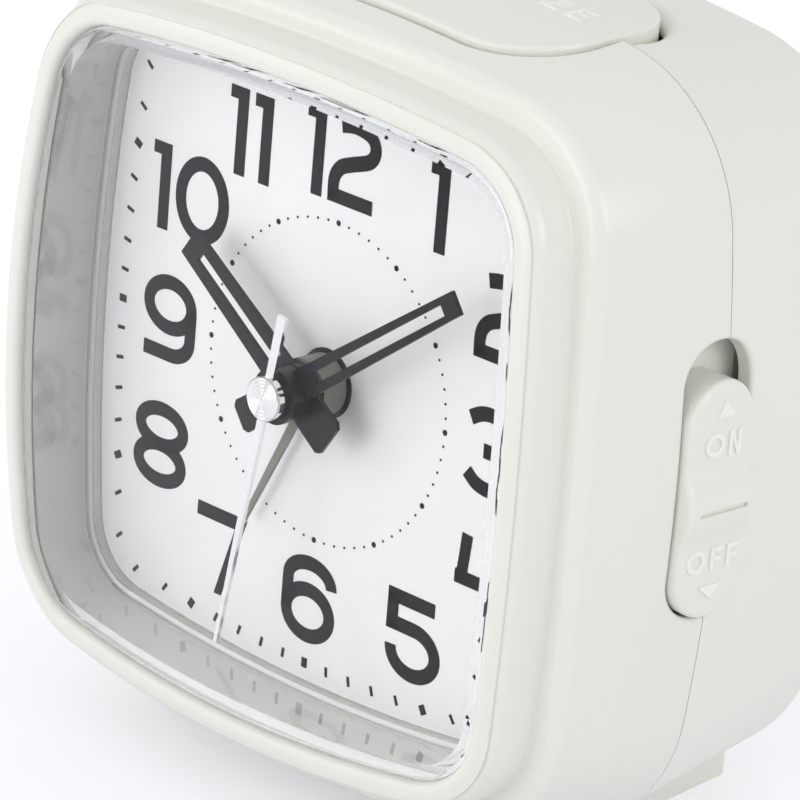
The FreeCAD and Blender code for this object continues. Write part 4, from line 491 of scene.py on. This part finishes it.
figures = {
    "0": [stroke(arc(4.2, 4.92, 3.38, 4.09, 0, 360), PEN)],
    "1": [stroke([(2.02, 0), (2.02, HEIGHT)], PEN),
          stroke([(0, HEIGHT - FLAG_PEN / 2), (1.3, HEIGHT - FLAG_PEN / 2)], FLAG_PEN)],
    "2": [stroke(through([(1.4, 8.62), (3.6, 8.97), (5.9, 8.45), (6.67, 7.1), (5.9, 5.75),
                          (3.33, 4.77), (1.67, 4.0), (0.83, 2.6), (0.83, 0.4)]), PEN),
          stroke([(0, 0.8), (6.75, 0.8)], 1.6)],
    "3": [stroke(through([(0.6, 8.0), (2.2, 8.85), (4.1, 9.0), (6.3, 8.3), (6.75, 6.9),
                          (5.9, 5.45), (4.4, 4.95)]), PEN),
          stroke([(2.75, 4.93), (4.8, 4.93)], PEN),
          stroke(through([(4.4, 4.9), (6.6, 4.2), (7.2, 2.6), (6.1, 1.25), (3.9, 0.82),
                          (2.0, 1.1), (0.6, 2.05)]), PEN)],
    "4": [stroke([(1.42, HEIGHT), (0.92, 4.5)], 1.55),
          stroke([(0, 4.86), (8.3, 4.86)], 1.6),
          stroke([(6.1, 7.7), (6.1, 0)], PEN)],
    "5": [stroke([(0, 9.07), (7.03, 9.07)], PEN),
          stroke([(0.83, 9.5), (0.83, 5.2)], PEN),
          stroke([(0, 5.97), (4.2, 5.97), *arc(4.2, 3.4, 3.32, 2.57, 90, -181)[1:]], PEN)],
    "6": [stroke(arc(4.13, 3.43, 3.33, 2.6, 0, 360), PEN),
          stroke([*arc(4.13, 6.95, 3.33, 2.15, 0, 180), (0.8, 3.43)], PEN)],
    "7": [stroke([(0, 9.07), (7.2, 9.07)], PEN),
          ([(6.03, 8.24), (3.43, 0)], [(7.93, 9.9), (4.6, 0)])],
    "8": [stroke(arc(4.25, 6.97, 3.42, 2.05, 0, 360), PEN),
          stroke(arc(4.25, 2.87, 3.42, 2.07, 0, 360), PEN)],
    "9": [stroke(arc(4.2, 6.48, 3.38, 2.58, 0, 360), PEN),
          stroke([(7.6, 6.48), *arc(4.7, 3.02, 2.9, 2.2, 0, -90), (0.4, 0.82)], PEN)],
}
print("figures written:", "".join(figures))

# %% [markdown]
# ## Raising strokes from a surface
# Ink and moulded letters are thin closed bars that stand a little proud of what carries them. To
# lay a stroke on a curved surface we drop each of its points on to the solid with a ray, then
# keep the bar's foot just under the skin. The flat dial uses the same function.

# %% Lay strokes on a surface


def new_piece(name, points, faces, material):
    """A mesh object at the origin, from points in the room."""
    mesh = bpy.data.meshes.new(name)
    mesh.from_pydata([tuple(point) for point in points], [], faces)
    mesh.materials.append(material)
    mesh.validate()
    mesh.update()
    piece = bpy.data.objects.new(name, mesh)
    bpy.context.scene.collection.objects.link(piece)
    return piece


def skin_of(node):
    """The surface of a CAD node, ready for rays."""
    mesh = nodes[node].data
    return BVHTree.FromPolygons([v.co for v in mesh.vertices], [p.vertices for p in mesh.polygons])


def raise_strokes(name, strokes, spot, proud, sunk, material):
    """Closed bars along the strokes. spot gives a stroke's point and its outward direction."""
    points, faces = [], []
    for left, right in strokes:
        start = len(points)
        for edge in zip(left, right):
            for x, z in edge:
                foot, out = spot(x, z)
                points += [foot - out * sunk * MM, foot + out * proud * MM]
        last = start + 4 * (len(left) - 1)
        closed = math.dist(left[0], left[-1]) < TOUCHING
        if closed:
            del points[last:]
        for a in range(start, last, 4):
            b = start if closed and a + 4 == last else a + 4
            faces += [(a, a + 1, b + 1, b), (a + 1, a + 3, b + 3, b + 1),
                      (a + 3, a + 2, b + 2, b + 3), (a + 2, a, b, b + 2)]
        if not closed:
            faces += [(start, start + 2, start + 3, start + 1),
                      (last, last + 1, last + 3, last + 2)]
    piece = new_piece(name, points, faces, material)
    turn_outwards(piece)
    print(name, "has", len(piece.data.polygons), "faces")
    return piece


def turn_outwards(piece):
    """Makes the faces of each closed part point outwards."""
    shape = bmesh.new()
    shape.from_mesh(piece.data)
    bmesh.ops.recalc_face_normals(shape, faces=shape.faces)
    shape.to_mesh(piece.data)
    shape.free()


def shifted(strokes, x, z, scale=1.0):
    """The same strokes, moved and scaled."""
    return [tuple([(x + scale * p, z + scale * q) for p, q in edge] for edge in pair)
            for pair in strokes]


# %% [markdown]
# ## Ink on the dial
# The figures are silk-screened in satin black. Screen ink lies about 0.03 mm thick with soft pin
# holes in it, so its gloss is low and slightly broken. An image on the dial could show the figures
# too, but thin solids keep a sharp edge however near the camera comes.

# %% Print the hours
ink = moulded("black_screen_ink", "#141819", "#181c1d", gloss=0.5, peel=0.3, depth=0.004)
quieten(ink, 0.2)
INK_THICKNESS = 0.035
INK_SUNK = 0.06

hours = {"12": [("1", -5.75, 20.08), ("2", -2.0, 20.08)], "1": [("1", 12.9, 18.93)],
         "2": [("2", 21.05, 9.62)], "3": [("3", 20.95, -5.1)], "4": [("4", 21.1, -19.75)],
         "5": [("5", 11.77, -29.1)], "6": [("6", -4.23, -29.93)], "7": [("7", -18.2, -29.07)],
         "8": [("8", -29.0, -19.8)], "9": [("9", -28.93, -5.1)],
         "10": [("1", -28.9, 9.6), ("0", -25.1, 9.6)],
         "11": [("1", -17.6, 18.93), ("1", -13.77, 18.93)]}


def on_dial(x, z):
    """A spot on the dial's face, and the way out of it."""
    return on_clock(x, 0, z), to_room.to_3x3() @ Vector((0, -1, 0))


strokes = [bar for hour in hours.values() for figure, x, z in hour
           for bar in shifted(figures[figure], x, z)]
numerals = raise_strokes("dial_numerals", strokes, on_dial, INK_THICKNESS, INK_SUNK, ink)
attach(numerals, "case")

# %% [markdown]
# ## The minute track
# Sixty short ticks follow the bowed square of the case. They all point at the centre, every fifth
# is wider, and each lies where its ray meets one of four large arcs. That is a rule, so Geometry
# Nodes can lay the whole track from its sizes: point i stands at i / 60 of a turn, and the
# arc's equation gives its distance.

# %% Helpers for geometry trees


def start_tree(name, sizes):
    """A geometry tree with one named input for each size, and its group input."""
    tree = bpy.data.node_groups.new(name, "GeometryNodeTree")
    for size_name, value in sizes.items():
        kind = "NodeSocketInt" if isinstance(value, int) else "NodeSocketFloat"
        tree.interface.new_socket(size_name, in_out="INPUT", socket_type=kind)
    tree.interface.new_socket("Mesh", in_out="OUTPUT", socket_type="NodeSocketGeometry")
    return tree, add_node(tree, "NodeGroupInput").outputs


def finish_tree(tree, instances, material):
    """Ends a tree: instances become real mesh with the material."""
    real = add_node(tree, "GeometryNodeRealizeInstances", {"Geometry": instances})
    painted = add_node(tree, "GeometryNodeSetMaterial",
                       {"Geometry": real.outputs[0], "Material": material})
    add_node(tree, "NodeGroupOutput", {"Mesh": painted.outputs[0]})


def grow(name, tree, sizes, place):
    """Runs a tree with these sizes and returns its result as a plain mesh, put in place."""
    host = bpy.data.objects.new(name + "_host", bpy.data.meshes.new(name + "_host"))
    bpy.context.scene.collection.objects.link(host)
    modifier = host.modifiers.new(name, "NODES")
    modifier.node_group = tree
    for item in tree.interface.items_tree:
        if item.in_out == "INPUT":
            modifier[item.identifier] = sizes[item.name]
    evaluated = host.evaluated_get(bpy.context.evaluated_depsgraph_get())
    mesh = bpy.data.meshes.new_from_object(evaluated)
    mesh.name = name
    mesh.transform(place)
    bpy.data.objects.remove(host)
    piece = bpy.data.objects.new(name, mesh)
    bpy.context.scene.collection.objects.link(piece)
    print(name, "grew", len(mesh.polygons), "faces")
    return piece


# %% How far out each tick lies
TRACK = {"Ticks": 60, "Side arc": 198.7 * MM, "Side arc offset": 166.4 * MM, "Length": 1.12 * MM,
         "Width": 0.42 * MM, "Hour width": 0.86 * MM, "Thickness": 0.1 * MM, "Back": 0.015 * MM}

tree, size = start_tree("minute_track", TRACK)
index = add_node(tree, "GeometryNodeInputIndex").outputs[0]
step = add_node(tree, "ShaderNodeMath", {0: 2 * math.pi, 1: size["Ticks"]}, operation="DIVIDE")
angle = add_node(tree, "ShaderNodeMath", {0: index, 1: step.outputs[0]},
                 operation="MULTIPLY").outputs[0]
side = add_node(tree, "ShaderNodeMath", {0: angle, 1: math.pi / 4}, operation="ADD")
nearest_side = add_node(tree, "ShaderNodeMath", {0: side.outputs[0], 1: math.pi / 2},
                        operation="SNAP")
off_side = add_node(tree, "ShaderNodeMath", {0: angle, 1: nearest_side.outputs[0]},
                    operation="SUBTRACT").outputs[0]
across = add_node(tree, "ShaderNodeMath", {0: off_side}, operation="SINE").outputs[0]
forward = add_node(tree, "ShaderNodeMath", {0: off_side}, operation="COSINE").outputs[0]
sideways = add_node(tree, "ShaderNodeMath", {0: across, 1: size["Side arc offset"]},
                    operation="MULTIPLY").outputs[0]
sideways_2 = add_node(tree, "ShaderNodeMath", {0: sideways, 1: sideways}, operation="MULTIPLY")
arc_2 = add_node(tree, "ShaderNodeMath", {0: size["Side arc"], 1: size["Side arc"]},
                 operation="MULTIPLY")
reach_2 = add_node(tree, "ShaderNodeMath", {0: arc_2.outputs[0], 1: sideways_2.outputs[0]},
                   operation="SUBTRACT")
reach = add_node(tree, "ShaderNodeMath", {0: reach_2.outputs[0]}, operation="SQRT")
set_back = add_node(tree, "ShaderNodeMath", {0: forward, 1: size["Side arc offset"]},
                    operation="MULTIPLY")
radius = add_node(tree, "ShaderNodeMath", {0: reach.outputs[0], 1: set_back.outputs[0]},
                  operation="SUBTRACT").outputs[0]
print("the track's tree has", len(tree.nodes), "nodes so far")

# %% [markdown]
# The distance and the turn give each point its place. The hour ticks are the same small bar as the
# others, stretched sideways, so that one instance serves the whole track.

# %% Put a tick on each point
sine = add_node(tree, "ShaderNodeMath", {0: angle}, operation="SINE")
cosine = add_node(tree, "ShaderNodeMath", {0: angle}, operation="COSINE")
x = add_node(tree, "ShaderNodeMath", {0: radius, 1: sine.outputs[0]}, operation="MULTIPLY")
z = add_node(tree, "ShaderNodeMath", {0: radius, 1: cosine.outputs[0]}, operation="MULTIPLY")
spot = add_node(tree, "ShaderNodeCombineXYZ",
                {"X": x.outputs[0], "Y": size["Back"], "Z": z.outputs[0]})
points = add_node(tree, "GeometryNodePoints",
                  {"Count": size["Ticks"], "Position": spot.outputs[0]})
fifth = add_node(tree, "ShaderNodeMath", {0: index, 1: 5.0}, operation="MODULO")
is_hour = add_node(tree, "ShaderNodeMath", {0: fifth.outputs[0], 1: 0.5}, operation="LESS_THAN")
widening = add_node(tree, "ShaderNodeMath", {0: size["Hour width"], 1: size["Width"]},
                    operation="DIVIDE")
stretch = add_node(tree, "ShaderNodeMix",
                   {0: is_hour.outputs[0], 2: 1.0, 3: widening.outputs[0]}, data_type="FLOAT")
scale = add_node(tree, "ShaderNodeCombineXYZ", {"X": stretch.outputs[0], "Y": 1.0, "Z": 1.0})
turn = add_node(tree, "ShaderNodeCombineXYZ", {"Y": angle})
box_size = add_node(tree, "ShaderNodeCombineXYZ",
                    {"X": size["Width"], "Y": size["Thickness"], "Z": size["Length"]})
tick = add_node(tree, "GeometryNodeMeshCube", {"Size": box_size.outputs[0]})
ticks = add_node(tree, "GeometryNodeInstanceOnPoints",
                 {"Points": points.outputs[0], "Instance": tick.outputs[0],
                  "Rotation": turn.outputs[0], "Scale": scale.outputs[0]})

# %% Grow the minute track
finish_tree(tree, ticks.outputs[0], ink)
minute_track = grow("minute_track", tree, TRACK, to_room)
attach(minute_track, "case")

# %% [markdown]
# ## The alarm ring
# Inside the figures a ring of seventy-two dots helps to set the alarm to ten minutes: six steps to
# the hour, with a larger dot at each hour. An array could turn one dot about the centre, but it
# couldn't make every sixth one larger, so a circle of points carries one small disc by a rule.

# %% Points on the ring
RING = {"Dots": 72, "Ring radius": 18.0 * MM, "Dot radius": 0.15 * MM, "Hour dot radius": 0.33 * MM,
        "Thickness": 0.1 * MM, "Back": 0.015 * MM}
DOT_SIDES = 14

tree, size = start_tree("alarm_ring", RING)
index = add_node(tree, "GeometryNodeInputIndex").outputs[0]
step = add_node(tree, "ShaderNodeMath", {0: 2 * math.pi, 1: size["Dots"]}, operation="DIVIDE")
angle = add_node(tree, "ShaderNodeMath", {0: index, 1: step.outputs[0]}, operation="MULTIPLY")
sine = add_node(tree, "ShaderNodeMath", {0: angle.outputs[0]}, operation="SINE")
cosine = add_node(tree, "ShaderNodeMath", {0: angle.outputs[0]}, operation="COSINE")
x = add_node(tree, "ShaderNodeMath", {0: size["Ring radius"], 1: sine.outputs[0]},
             operation="MULTIPLY")
z = add_node(tree, "ShaderNodeMath", {0: size["Ring radius"], 1: cosine.outputs[0]},
             operation="MULTIPLY")
spot = add_node(tree, "ShaderNodeCombineXYZ",
                {"X": x.outputs[0], "Y": size["Back"], "Z": z.outputs[0]})
points = add_node(tree, "GeometryNodePoints", {"Count": size["Dots"], "Position": spot.outputs[0]})
print("one dot every", 360 / RING["Dots"], "degrees")

# %% Grow the alarm ring
sixth = add_node(tree, "ShaderNodeMath", {0: index, 1: 6.0}, operation="MODULO")
is_hour = add_node(tree, "ShaderNodeMath", {0: sixth.outputs[0], 1: 0.5}, operation="LESS_THAN")
growth = add_node(tree, "ShaderNodeMath", {0: size["Hour dot radius"], 1: size["Dot radius"]},
                  operation="DIVIDE")
spread = add_node(tree, "ShaderNodeMix", {0: is_hour.outputs[0], 2: 1.0, 3: growth.outputs[0]},
                  data_type="FLOAT")
scale = add_node(tree, "ShaderNodeCombineXYZ",
                 {"X": spread.outputs[0], "Y": spread.outputs[0], "Z": 1.0})
disc = add_node(tree, "GeometryNodeMeshCylinder",
                {"Vertices": DOT_SIDES, "Radius": size["Dot radius"], "Depth": size["Thickness"]})
dots = add_node(tree, "GeometryNodeInstanceOnPoints",
                {"Points": points.outputs[0], "Instance": disc.outputs[0],
                 "Rotation": (math.pi / 2, 0, 0), "Scale": scale.outputs[0]})
finish_tree(tree, dots.outputs[0], ink)
alarm_ring = grow("alarm_ring", tree, RING, to_room)
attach(alarm_ring, "case")

# %% [markdown]
# ## The winding
# The motor's coil is thousands of turns of wire finer than a hair. Turns that fine would melt into
# a smooth barrel, so the wire is drawn 0.3 mm thick. A screw modifier could wind it as well, but a
# spiral curve with a round section needs only its turns, radius and length. It runs along the
# bobbin between its two cheeks.

# %% Grow the winding
COIL = {"Turns": 52, "Radius": 2.02 * MM, "Wire radius": 0.15 * MM, "Length": 15.8 * MM}

tree, size = start_tree("winding", COIL)
spiral = add_node(tree, "GeometryNodeCurveSpiral",
                  {"Resolution": 20, "Rotations": size["Turns"], "Start Radius": size["Radius"],
                   "End Radius": size["Radius"], "Height": size["Length"]})
section = add_node(tree, "GeometryNodeCurvePrimitiveCircle",
                   {"Resolution": 6, "Radius": size["Wire radius"]})
wire = add_node(tree, "GeometryNodeCurveToMesh",
                {"Curve": spiral.outputs[0], "Profile Curve": section.outputs[0],
                 "Fill Caps": True})
finish_tree(tree, wire.outputs[0], copper)
coil_low, coil_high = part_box("motor_coil")
coil_middle = (coil_low + coil_high) / 2
lay_down = Matrix.Rotation(math.pi / 2, 4, "Y")
centred = Matrix.Translation((0, 0, -COIL["Length"] / 2))
winding = grow("coil_winding", tree, COIL, Matrix.Translation(coil_middle) @ lay_down @ centred)
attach(winding, "case")

# %% [markdown]
# ## The turned cap of the second hand
# The cap is turned and polished with fine concentric ridges, which the eye reads as bright rings
# round a small boss. A bump pattern could draw the rings, but the mesh under it would stay flat, so
# a profile of real ridges is spun about the arbor.

# %% Turn the cap's rings
CAP_FACE_Y = -9.35
CAP_BOSS = 0.42
CAP_RIDGES = 5
CAP_RIM = 2.4
RIDGE_HEIGHT = 0.13
RIDGE_SHAPE = [(0.3, 0.75), (0.5, 1.0), (0.7, 0.75)]    # shares of the pitch and of the height
BOSS_TOP = 1.3              # the boss's height at its middle and its edge, in ridge heights
BOSS_EDGE = 1.2
BOSS_TAPER = 0.7
CAP_BORE = 0.04
CAP_SEAT = 0.1
CAP_VALLEY = 0.02
SPIN_STEPS = 72


def lathe(name, profile, material, steps=SPIN_STEPS):
    """Spins points (radius, y), in millimetres, about the clock's arbor into a closed shape."""
    points, faces = [], []
    for i in range(steps):
        turn = 2 * math.pi * i / steps
        points += [on_clock(r * math.cos(turn), y, r * math.sin(turn)) for r, y in profile]
    count = len(profile)
    for i in range(steps):
        here, there = i * count, (i + 1) % steps * count
        for j in range(count):
            k = (j + 1) % count
            faces.append((here + j, here + k, there + k, there + j))
    piece = new_piece(name, points, faces, material)
    turn_outwards(piece)
    return piece


pitch = (CAP_RIM - CAP_BOSS) / CAP_RIDGES
profile = [(CAP_BORE, CAP_FACE_Y - BOSS_TOP * RIDGE_HEIGHT),
           (CAP_BOSS * BOSS_TAPER, CAP_FACE_Y - BOSS_EDGE * RIDGE_HEIGHT)]
for ridge in range(CAP_RIDGES):
    inner = CAP_BOSS + ridge * pitch
    profile.append((inner, CAP_FACE_Y - CAP_VALLEY))
    profile += [(inner + across * pitch, CAP_FACE_Y - height * RIDGE_HEIGHT)
                for across, height in RIDGE_SHAPE]
profile += [(CAP_RIM, CAP_FACE_Y - CAP_VALLEY), (CAP_RIM, CAP_FACE_Y + CAP_SEAT),
            (CAP_BORE, CAP_FACE_Y + CAP_SEAT)]
cap_rings = lathe("cap_rings", profile, chrome)
cap_rings.data.shade_smooth()
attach(cap_rings, "second")
print("cap rings:", CAP_RIDGES, "ridges of", round(pitch, 2), "mm")

# %% [markdown]
# ## Raised words
# The snooze bar and the slider carry moulded words that stand only 0.1 to 0.2 mm proud, white on
# white. They are read by the hairline of shade round them. A text object could be wrapped on to the
# bar, but it would bring its own font's shapes, so the letters are drawn in strokes as the numerals
# are, and each point falls on the curved part by a ray. In the mould the letters are spark eroded,
# so their faces come out matt. Their colour is a shade lighter than the polished plastic. That is a
# painted highlight, so that the letter faces look as if they catch more light.

# %% Letters
# The matt gloss is real. The lighter colour is a painted highlight on the letter faces.
matt_abs_painted_highlight = moulded("matt_white_abs_painted_highlight", "#f6f7f0", "#f3f4ed", gloss=0.55, peel=0.4, depth=0.004)
FINE_PEN = 0.45
BOLD_PEN = 0.52


def slanted(x0, x1, low, high, pen):
    """A slanting stroke, cut level at both ends, as in N and Z."""
    return ([(x0, high), (x1 - pen, low)], [(x0 + pen, high), (x1, low)])


letters = {
    "S": [stroke(through([(2.25, 2.45), (1.5, 2.8), (0.5, 2.55), (0.4, 1.85), (1.3, 1.5),
                          (2.2, 1.1), (2.15, 0.4), (1.2, 0.1), (0.25, 0.45)]), FINE_PEN)],
    "N": [stroke([(0.2, 0), (0.2, 2.9)], FINE_PEN), slanted(0.45, 1.85, 0.0, 2.9, FINE_PEN),
          stroke([(2.1, 0), (2.1, 2.9)], FINE_PEN)],
    "O": [stroke(arc(1.35, 1.45, 1.15, 1.27, 0, 360), FINE_PEN)],
    "Z": [stroke([(0.15, 2.7), (2.35, 2.7)], FINE_PEN), slanted(1.8, 0.75, 0.45, 2.45, FINE_PEN),
          stroke([(0.1, 0.2), (2.45, 0.2)], FINE_PEN)],
    "E": [stroke([(0.2, 0), (0.2, 2.9)], FINE_PEN), stroke([(0.45, 2.7), (2.1, 2.7)], FINE_PEN),
          stroke([(0.45, 1.5), (1.9, 1.5)], FINE_PEN), stroke([(0.45, 0.2), (2.1, 0.2)], FINE_PEN)],
}
word_on = [stroke(arc(10.5, 5.26, 1.17, 1.03, 0, 360), BOLD_PEN),
           stroke([(12.89, 3.73), (12.89, 6.5)], BOLD_PEN),
           ([(13.15, 6.5), (13.93, 4.8)], [(13.15, 5.45), (13.93, 3.73)]),
           stroke([(14.19, 3.73), (14.19, 6.5)], BOLD_PEN)]
bold_f = [stroke([(0.26, 0), (0.26, 2.55)], BOLD_PEN), stroke([(0.54, 2.3), (1.8, 2.3)], BOLD_PEN),
          stroke([(0.54, 1.23), (1.55, 1.23)], BOLD_PEN)]
word_off = [stroke(arc(9.3, -7.5, 1.11, 1.04, 0, 360), BOLD_PEN), *shifted(bold_f, 11.49, -8.85),
            *shifted(bold_f, 13.96, -8.85)]


def finely(strokes, step=0.5):
    """Cuts long straight strokes into short pieces, so that they can follow a curved surface."""
    fine = []
    for left, right in strokes:
        new_left, new_right = [left[0]], [right[0]]
        for a, b, c, d in zip(left, left[1:], right, right[1:]):
            parts = max(1, math.ceil(math.dist(a, b) / step))
            for i in range(1, parts + 1):
                t = i / parts
                new_left.append((a[0] + (b[0] - a[0]) * t, a[1] + (b[1] - a[1]) * t))
                new_right.append((c[0] + (d[0] - c[0]) * t, c[1] + (d[1] - c[1]) * t))
        fine.append((new_left, new_right))
    return fine


def landing(node, start, way):
    """A spot function: rays from start(x, z) along way land on the node's surface."""
    skin = skin_of(node)
    direction = (to_room.to_3x3() @ Vector(way)).normalized()

    def spot(x, z):
        hit, normal, _, _ = skin.ray_cast(start(x, z), direction)
        return hit, (normal if normal.dot(direction) < 0 else -normal)

    return spot


print("letters ready:", " ".join(letters))

# %% [markdown]
# The word sits towards the right end of the bar, and a small bell, the usual sign for an alarm,
# balances it on the left. A bell is a dome on a straight rim with a clapper under it.

# %% Raise the word on the snooze bar
WORD_START = -0.15
WORD_BASE = 11.1
LETTER_PITCH = {"S": 3.4, "N": 3.3, "O": 3.75, "Z": 3.5, "E": 3.2}
LETTER_PROUD = 0.12
LETTER_SUNK = 0.2
WORD_SCALE = 1.08
BELL = (-15.5, 10.6)

bell = [stroke(through([(-1.6, 0.5), (-1.15, 1.3), (-1.1, 2.6), (0, 3.7), (1.1, 2.6), (1.15, 1.3),
                        (1.6, 0.5)]), FINE_PEN),
        stroke([(-2.0, 0.2), (2.0, 0.2)], FINE_PEN), stroke(arc(0, -0.4, 0.4, 0.3, 200, 340), FINE_PEN)]
strokes = []
pen_x = WORD_START
for letter in "SNOOZE":
    strokes += shifted(letters[letter], pen_x, WORD_BASE, WORD_SCALE)
    pen_x += LETTER_PITCH[letter] * WORD_SCALE
strokes += shifted(bell, *BELL)
ABOVE_BAR = 60
bar_spot = landing("snooze_button", lambda x, z: on_clock(x, z, ABOVE_BAR), (0, 0, -1))
snooze_word = raise_strokes("snooze_word", finely(strokes), bar_spot, LETTER_PROUD, LETTER_SUNK,
                            matt_abs_painted_highlight)
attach(snooze_word, "snooze")
print("the word ends at", round(pen_x, 1), "mm")

# %% [markdown]
# The slider says ON above its middle groove and OFF below it, each with a small triangle that points
# the way to push. Here the rays come from the side of the case.

# %% Raise ON and OFF on the slider
BESIDE_SWITCH = 60
SWITCH_WORD_PROUD = 0.2
arrow_up = ([(10.46, 8.2), (11.58, 9.9)], [(13.23, 8.2), (11.62, 9.9)])
arrow_down = ([(10.03, -10.5), (11.92, -12.0)], [(13.46, -10.5), (11.96, -12.0)])
strokes = [*word_on, *word_off, arrow_up, arrow_down]
side_spot = landing("alarm_switch", lambda x, z: on_clock(BESIDE_SWITCH, x, z), (-1, 0, 0))
switch_words = raise_strokes("switch_words", finely(strokes), side_spot, SWITCH_WORD_PROUD,
                             LETTER_SUNK, matt_abs_painted_highlight)
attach(switch_words, "slider")

# %% [markdown]
# ## Floor and light
# The clock stands on a white sheet in a bright studio. The sheet is a wide plane with a fine paper
# tooth. Camera, glossy and transmission rays see a little added white, so the far field goes
# to pure white while the contact shadow stays.

# %% The floor
FLOOR_HALF = 3.0
FLOOR_GLOW = 0.3

floor_material = bpy.data.materials.new("white_paper_sheet")
floor_material.use_nodes = True
tree = floor_material.node_tree
shader = tree.nodes["Principled BSDF"]
shader.inputs["Roughness"].default_value = 0.8
shader.inputs["Specular IOR Level"].default_value = 0.2
shader.inputs["Base Color"].default_value = srgb("#e9e8ee")
place = add_node(tree, "ShaderNodeTexCoord").outputs["Object"]
tooth = add_node(tree, "ShaderNodeTexNoise", {"Vector": place, "Scale": per_mm(0.8), "Detail": 2.0})
bump = add_node(tree, "ShaderNodeBump", {"Height": tooth.outputs["Fac"], "Distance": 0.01 * MM})
tree.links.new(bump.outputs["Normal"], shader.inputs["Normal"])
rays = add_node(tree, "ShaderNodeLightPath").outputs
seen = add_node(tree, "ShaderNodeMath",
                {0: rays["Is Camera Ray"], 1: rays["Is Glossy Ray"]}, operation="MAXIMUM")
seen = add_node(tree, "ShaderNodeMath",
                {0: seen.outputs[0], 1: rays["Is Transmission Ray"]}, operation="MAXIMUM")
glow = add_node(tree, "ShaderNodeMath", {0: seen.outputs[0], 1: FLOOR_GLOW}, operation="MULTIPLY")
white = add_node(tree, "ShaderNodeEmission", {"Strength": glow.outputs[0]})
total = add_node(tree, "ShaderNodeAddShader", {0: shader.outputs["BSDF"], 1: white.outputs[0]})
tree.links.new(total.outputs[0], tree.nodes["Material Output"].inputs["Surface"])
corners = [(-FLOOR_HALF, -FLOOR_HALF, 0), (FLOOR_HALF, -FLOOR_HALF, 0),
           (FLOOR_HALF, FLOOR_HALF, 0), (-FLOOR_HALF, FLOOR_HALF, 0)]
floor = new_piece("floor", corners, [(0, 1, 2, 3)], floor_material)

# %% [markdown]
# The room is one even pale light from all round, as from white walls, and it fills every shadow. To
# the camera itself it is pure white, so that the sheet and the wall behind it run together.

# %% The room
ROOM_LIGHT = 0.78

world = bpy.data.worlds.new("studio")
bpy.context.scene.world = world
world.use_nodes = True
tree = world.node_tree
background = tree.nodes["Background"]
background.inputs["Color"].default_value = srgb("#fbfbfd")
rays = add_node(tree, "ShaderNodeLightPath").outputs
strength = add_node(tree, "ShaderNodeMix", {0: rays["Is Camera Ray"], 2: ROOM_LIGHT, 3: 1.0},
                    data_type="FLOAT")
tree.links.new(strength.outputs[0], background.inputs["Strength"])

# %% [markdown]
# Three soft boxes give the shape: a low one in front lights the dial through the window, a higher one
# at the left rounds the lip and throws the shadow, and one at the right lights the side with the
# slider. They are weak, so that a colour comes out about as it is written.

# %% The lamps


def lamp(name, size, watts, place, aim, colour="#ffffff"):
    """A square soft box that faces the point aim."""
    data = bpy.data.lights.new(name, "AREA")
    data.size = size
    data.energy = watts
    data.color = srgb(colour)[:3]
    light = bpy.data.objects.new(name, data)
    direction = Vector(aim) - Vector(place)
    light.matrix_world = (Matrix.Translation(place)
                          @ direction.to_track_quat("-Z", "Y").to_matrix().to_4x4())
    bpy.context.scene.collection.objects.link(light)
    print(name, watts, "W")


CLOCK_MIDDLE = (0, 0, 0.045)
lamp("front_box", 0.7, 3.8, (-0.15, -1.3, 0.42), CLOCK_MIDDLE)
lamp("left_box", 0.7, 2.6, (-1.1, -0.9, 0.7), CLOCK_MIDDLE)
lamp("right_box", 0.6, 3.6, (1.3, 0.25, 0.6), CLOCK_MIDDLE)

# %% [markdown]
# ## Finish
# Colours are shown as they are, with the Standard view.

# %% Finish
bpy.context.scene.view_settings.view_transform = "Standard"
